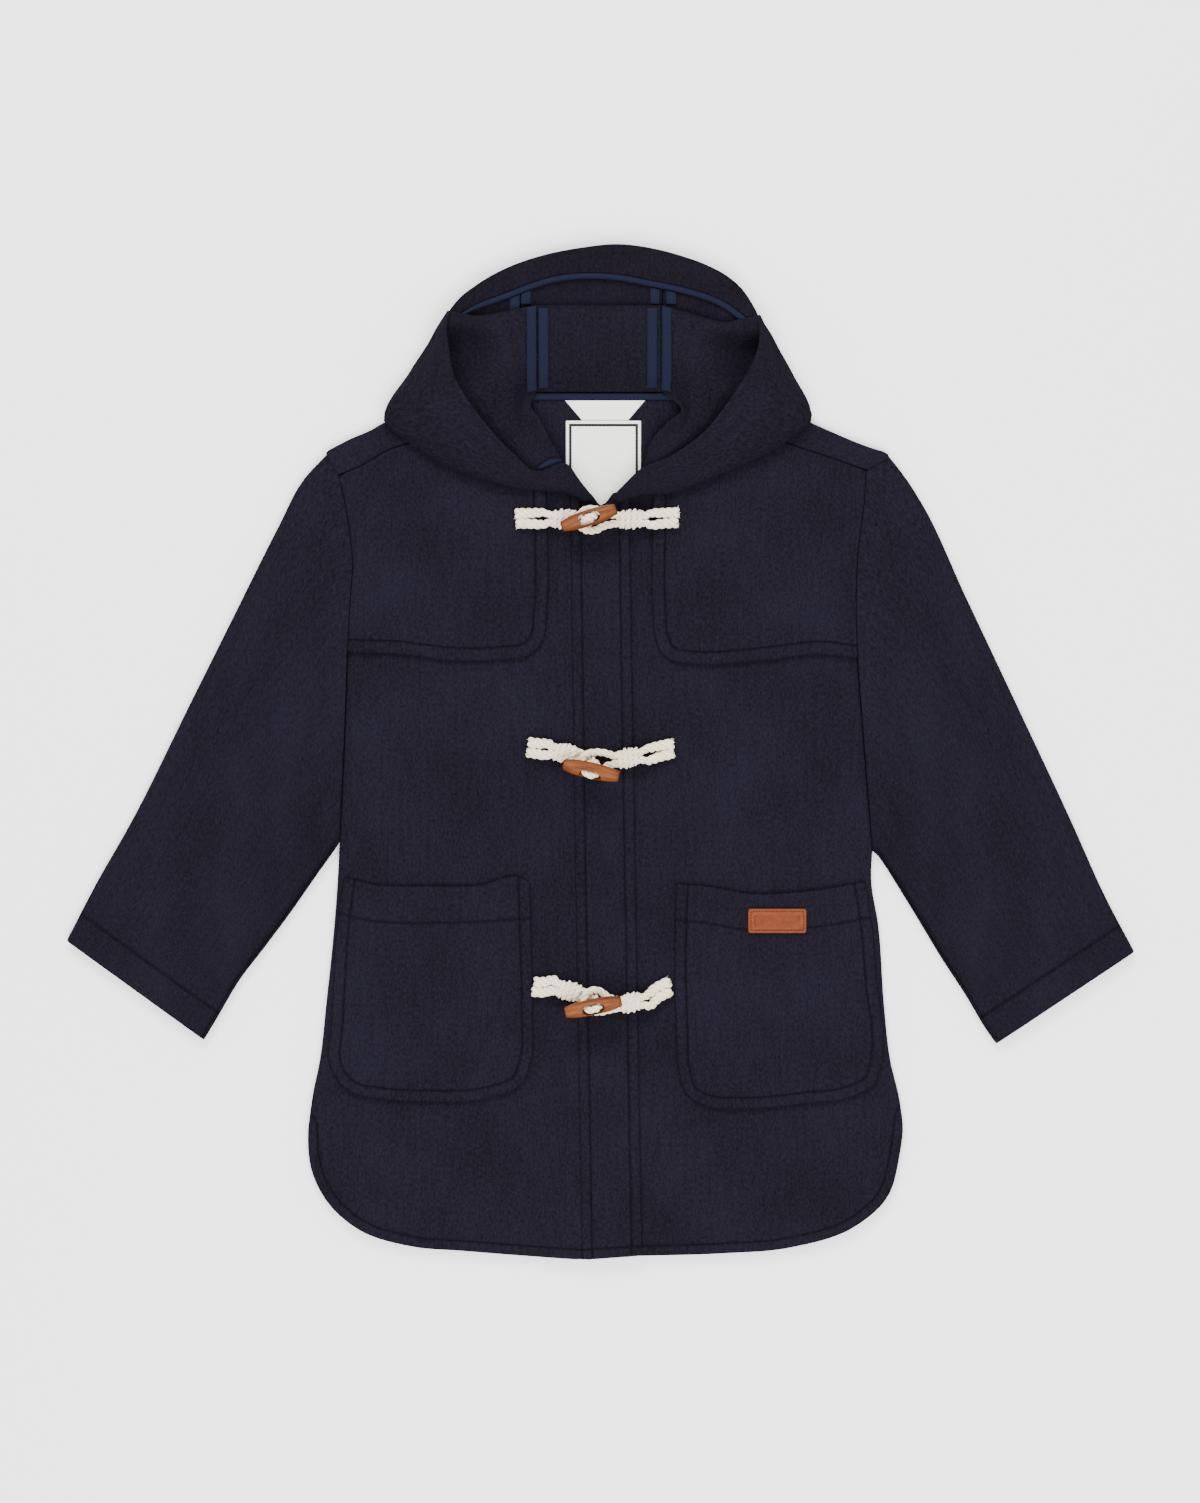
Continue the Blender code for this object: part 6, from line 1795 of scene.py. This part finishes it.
# %% Turn a toggle and cut its slot
def toggle_body():
    """A turned barrel along X in millimetres, still without its slot."""
    profile = refine(TOGGLE_PROFILE, 1.0)
    left = [(-TOGGLE_HALF + at, r) for at, r in profile]
    right = [(-x, r) for x, r in reversed(left[:-1])]
    spine_points = [(-TOGGLE_HALF, 0.0), *left, *right, (TOGGLE_HALF, 0.0)]
    bm = bmesh.new()
    spine = [bm.verts.new((x, 0.0, r)) for x, r in spine_points]
    edges = [bm.edges.new(pair) for pair in zip(spine, spine[1:])]
    bmesh.ops.spin(bm, geom=spine + edges, cent=(0, 0, 0), axis=(1, 0, 0), angle=math.tau, steps=44,
                   use_merge=True)
    bmesh.ops.remove_doubles(bm, verts=bm.verts, dist=0.001)
    bmesh.ops.recalc_face_normals(bm, faces=bm.faces)
    return bm


def slot_cutter():
    bm = bmesh.new()
    ends = []
    for side, start in ((1, -0.5), (-1, 0.5)):
        for step in range(11):
            angle = math.pi * (start + step / 10)
            ends.append((side * SLOT_REACH + SLOT_HALF * math.cos(angle), SLOT_HALF * math.sin(angle)))
    face = bm.faces.new([bm.verts.new((x, y, -10.0)) for x, y in ends])
    made = bmesh.ops.extrude_face_region(bm, geom=[face])["geom"]
    bmesh.ops.translate(bm, vec=(0, 0, 20), verts=[g for g in made if isinstance(g, bmesh.types.BMVert)])
    bmesh.ops.recalc_face_normals(bm, faces=bm.faces)
    return bm


def bare_object(name, bm):
    mesh = bpy.data.meshes.new(name)
    bm.to_mesh(mesh)
    bm.free()
    obj = bpy.data.objects.new(name, mesh)
    bpy.context.scene.collection.objects.link(obj)
    return obj


def cut_toggle():
    """The barrel with its slot cut through and the slot's rims bevelled, as a mesh."""
    body, cutter = bare_object("barrel", toggle_body()), bare_object("slot", slot_cutter())
    cut = body.modifiers.new("slot", "BOOLEAN")
    cut.object = cutter
    cut.operation = "DIFFERENCE"
    whole = bpy.data.meshes.new_from_object(body.evaluated_get(bpy.context.evaluated_depsgraph_get()))
    for obj in (body, cutter):
        bpy.data.objects.remove(obj, do_unlink=True)
    bm = bmesh.new()
    bm.from_mesh(whole)
    bpy.data.meshes.remove(whole)
    bmesh.ops.remove_doubles(bm, verts=bm.verts, dist=0.02)
    bm.normal_update()
    rims = [e for e in bm.edges if len(e.link_faces) == 2 and max(abs(v.co.x) for v in e.verts) < 9
            and e.calc_face_angle() > math.radians(48)]
    round_edges(bm, rims, 0.6, 3)
    bmesh.ops.recalc_face_normals(bm, faces=bm.faces)
    return bm


def finish_toggle(bm, name, x, y, turn, roll, shift):
    """Give the toggle its grain, its end stain and the painted shade in its slot, then turn it into its
    place.
    """
    grain = bm.loops.layers.uv.new("grain")
    stain_and_slot_shade = bm.verts.layers.float.new("end_grain_stain_and_slot_shade")
    for vert in bm.verts:
        at, across, up = vert.co
        radius = math.hypot(across, up)
        surface = np.interp(TOGGLE_HALF - abs(at), *np.array(TOGGLE_PROFILE).T)
        end = 0.75 * smooth_step((abs(at) - 18.1) / 0.9) + 0.25 * smooth_step((abs(at) - 15.0) / 4.0)
        # painted shade: the slot's walls darken with their depth below the toggle's surface
        in_slot = abs(at) < SLOT_REACH + SLOT_HALF + 0.6 and abs(across) < SLOT_HALF + 0.6
        depth = smooth_step((surface - radius - 0.03) / 0.4) if in_slot else 0.0
        vert[stain_and_slot_shade] = float(max(end, 0.95 * depth))
    for face in bm.faces:
        angles = [math.atan2(loop.vert.co.y, loop.vert.co.z) for loop in face.loops]
        wraps = max(angles) - min(angles) > math.pi
        for loop, angle in zip(face.loops, angles):
            angle += math.tau if wraps and angle < 0 else 0.0
            loop[grain].uv = ((loop.vert.co.x + shift) * MM, angle * GRAIN_RADIUS * MM)
    placed = Matrix.Translation((x, y, TOGGLE_HEIGHT)) @ Matrix.Rotation(math.radians(turn), 4, "Z")
    placed = placed @ Matrix.Rotation(math.radians(roll), 4, "X")
    bmesh.ops.transform(bm, matrix=placed, verts=bm.verts)
    obj = add_piece("toggle_%s_beech" % name, bm, TOGGLE_WOOD, ("toggle_" + name,))
    obj.data.set_sharp_from_angle(angle=math.radians(50))
    print(obj.name, ":", len(obj.data.polygons), "faces")


for number, (name, x, y, turn, roll, *_) in enumerate(TOGGLES):
    finish_toggle(cut_toggle(), name, x, y, turn, roll, GRAIN_SHIFT * number)

# %% [markdown]
# ## Cords and knots
# Two cords hold each toggle. The right one goes up through the slot as a stem, and the left one
# is a loop that lies round the stem under the toggle. Both are bound by four slanting wraps, and
# their tails are sewn flat to the coat.

# %% Heights on the cloth
CORD = 4.6
CORD_RADIUS = 2.5
TAIL_RADIUS = 3.2             # a tail is pressed flat and spreads
TAIL_FLAT = 0.8
TAIL_SPREAD = 3.75            # from a tail's middle line to each of its two runs
KNOT_SPREAD = 2.5
KNOT_HALF_WIDTH = 7.1
KNOT_HALF_HEIGHT = 4.2
WRAP_RADIUS = 2.0
WRAPS = 4
CORD_TWIST = 13.2             # length of one turn of a cord's strands
KNOT_TWIST = 9.5
YOKE_FOOT_Y = 60.0
FIBRES = 22                   # in each frayed end


def cloth_top(x, y):
    """Top of the cloth beside and under the fastenings."""
    if y > YOKE_FOOT_Y and x < YOKE_RIGHT_FREE[0][0]:
        under = under_yoke_right
    elif y > YOKE_FOOT_Y and x > YOKE_LEFT_FREE[0][0]:
        under = under_yoke_left
    elif x < -17.0:
        under = under_right
    elif x < 26.0:
        under = under_placket
    else:
        under = under_base
    return float(under(x, y) + WOOL) + CLEARANCE


def rest_height(x, y):
    """Height of a cord's middle line where it rests on the cloth."""
    around = [cloth_top(x + dx, y + dy) for dx in (-3.2, 0.0, 3.2) for dy in (-2.4, 0.0, 2.4)]
    return max(around) + CORD / 2


def knot_height(outer, inner):
    """Height of a knot's middle line, clear of the cloth under all of it."""
    across = (inner - outer).normalized().orthogonal() * KNOT_HALF_WIDTH
    places = [outer.lerp(inner, t) + across * s for t in (0, 0.25, 0.5, 0.75, 1) for s in (-1, 0, 1)]
    return max(cloth_top(*place) for place in places) + KNOT_HALF_HEIGHT


# %% Routes of the cords
def cord_ends(side, tail, outer, inner, high):
    """One run from its tail's end to just inside the knot; side says which of the two."""
    along_cord = (inner - outer).normalized()
    across = Vector((-along_cord.y, along_cord.x)) * side
    keys = []
    for place, spread, lift in (
            (tail, TAIL_SPREAD - 0.7, 0.0), (tail.lerp(outer, 0.45), TAIL_SPREAD - 0.2, 0.0),
            (outer - along_cord * 5.0, TAIL_SPREAD + 0.2, 0.5)):
        at = place + across * spread
        keys.append((at.x, at.y, blend(rest_height(at.x, at.y), high, lift)))
    for place in (outer - along_cord * 0.5, inner - along_cord * 0.5):
        at = place + across * KNOT_SPREAD
        keys.append((at.x, at.y, high))
    return keys


def stem_route(x, y, turn, roll, eye, outer, inner, high):
    leave = inner + (inner - outer).normalized() * 3.0
    start = inner.y
    turned = Matrix.Rotation(math.radians(turn), 3, "Z") @ Matrix.Rotation(math.radians(roll), 3, "X")
    centre = Vector((x, y, TOGGLE_HEIGHT))
    keys = []
    for rx, ry, rz in STEM_ROUTE:
        if rz > STEM_CLEAR:
            wide = blend(1.0, 1.5, smooth_step((rz - 19.0) / 5.0))
            keys.append(tuple(centre + turned @ Vector((rx * wide, ry, rz - TOGGLE_HEIGHT))))
            continue
        beside = blend(eye, start - y, smooth_step((-rx - 1.0) / 6.0))
        beside = blend(beside, eye * 0.7, smooth_step((rz - 11.0) / 5.0))
        keys.append((x + rx, y + ry + beside, rz))
    ends = [(leave.x, leave.y + side * KNOT_SPREAD, high - 1.35) for side in (1, -1)]
    return ends[:1] + keys + ends[1:]


def loop_route(x, y, eye, start):
    keys = []
    for rx, ry, rz in LOOP_ROUTE:
        beside = blend(eye, start - y, smooth_step((rx - 2.0) / 9.0))
        keys.append((x + rx, y + ry + beside, rz))
    return keys


# %% Lay the cords
def frayed_end(bm, place, outward, radius, rng):
    """Cut fibres that stand out of a cord's end."""
    outward = np.asarray(outward) / np.linalg.norm(outward)
    across = np.array([-outward[1], outward[0], 0.0])
    for _ in range(FIBRES):
        offset = across * rng.uniform(-1, 1) * radius + np.array([0, 0, rng.uniform(-0.7, 0.6) * radius])
        start = place + offset - outward * 0.6
        lean = outward + across * rng.uniform(-0.9, 0.9) + np.array([0, 0, rng.uniform(-0.2, 0.8)])
        length = rng.uniform(0.7, 1.9)
        curl = np.array([rng.uniform(-0.5, 0.5), rng.uniform(-0.5, 0.5), rng.uniform(-0.5, 0.3)])
        line = np.array([start + lean * length * t + curl * length * t * t for t in (0.0, 0.4, 0.75, 1.0)])
        tube(bm, line, [0.16, 0.14, 0.11, 0.06], around=4, closed_ends=False)


def lay_cord(name, keys, seed):
    rng = random.Random(seed)
    path = smooth_curve(keys, 16)
    path = read_at(path, np.arange(0.0, running_length(path)[-1], 0.85))
    lowest = np.array([rest_height(px, py) for px, py, _ in path])
    path[:, 2] = np.maximum(path[:, 2], lowest)
    at = running_length(path)
    from_end = np.minimum(at, at[-1] - at)
    tail = 1.0 - smooth_step((from_end - 12.0) / 8.0)
    radius = CORD_RADIUS + (TAIL_RADIUS - CORD_RADIUS) * tail
    radius = radius * (1.0 + 0.16 * np.exp(-(from_end / 7.0) ** 2))
    flat = 1.0 - (1.0 - TAIL_FLAT) * tail
    bm = twisted_cord(path, radius, CORD_TWIST, start=rng.uniform(0.0, 6.0), flat=flat)
    for end, inner in ((0, 3), (-1, -4)):
        frayed_end(bm, path[end], path[end] - path[inner], TAIL_RADIUS, rng)
    add_piece(name + "_cotton", bm, CORD_COTTON, (name,))
    print(name, ":", round(at[-1]), "mm long")


def tie_knot(name, outer, inner, high, seed):
    """Four wraps of cord round its two runs, slanting across them."""
    rng = random.Random(seed)
    run = inner - outer
    axis = run.normalized()
    across = Vector((-axis.y, axis.x))
    pitch = (run.length - 2 * WRAP_RADIUS + 0.8) / (WRAPS - 1 + 0.35)
    keys = []
    steps = 14
    total = int(steps * (WRAPS + 0.25))
    for step in range(total + 1):
        angle = math.tau * step / steps - 2.2
        round_no = step / steps
        narrow = 1.0 - 0.3 * (2 * abs(round_no / (WRAPS + 0.25) - 0.5)) ** 2 + rng.uniform(-0.02, 0.02)
        end = min(step, total - step) / 4.0
        sink = 1.0 - 0.35 * max(0.0, 1.0 - end)
        wide = (KNOT_HALF_WIDTH - WRAP_RADIUS) * narrow * sink
        tall = (KNOT_HALF_HEIGHT - WRAP_RADIUS + 0.1) * sink * blend(narrow, 1.0, 0.5)
        lean = 1.5 * math.cos(angle)
        forward = WRAP_RADIUS - 0.6 + (round_no - 0.3) * pitch + lean
        place = outer + axis * forward + across * wide * math.cos(angle)
        keys.append((place.x, place.y, high + tall * math.sin(angle)))
    path = refine(keys, 0.8)
    bm = twisted_cord(path, WRAP_RADIUS, KNOT_TWIST, around=7, start=rng.uniform(0.0, 6.0))
    add_piece(name + "_cotton", bm, CORD_COTTON, (name,))


for number, (name, x, y, turn, roll, eye, right, left) in enumerate(TOGGLES):
    for hand, side, row in (("right", 1, right), ("left", -1, left)):
        tail, outer, inner = Vector(row[0:2]), Vector(row[2:4]), Vector(row[4:6])
        high = knot_height(outer, inner)
        if hand == "right":
            middle = stem_route(x, y, turn, roll, eye, outer, inner, high)
        else:
            middle = loop_route(x, y, eye, inner.y)
        keys = cord_ends(side, tail, outer, inner, high) + middle
        keys += reversed(cord_ends(-side, tail, outer, inner, high))
        lay_cord("cord_%s_%s" % (hand, name), keys, 10 + number)
        tie_knot("knot_%s_%s" % (hand, name), outer, inner, high, 30 + number)
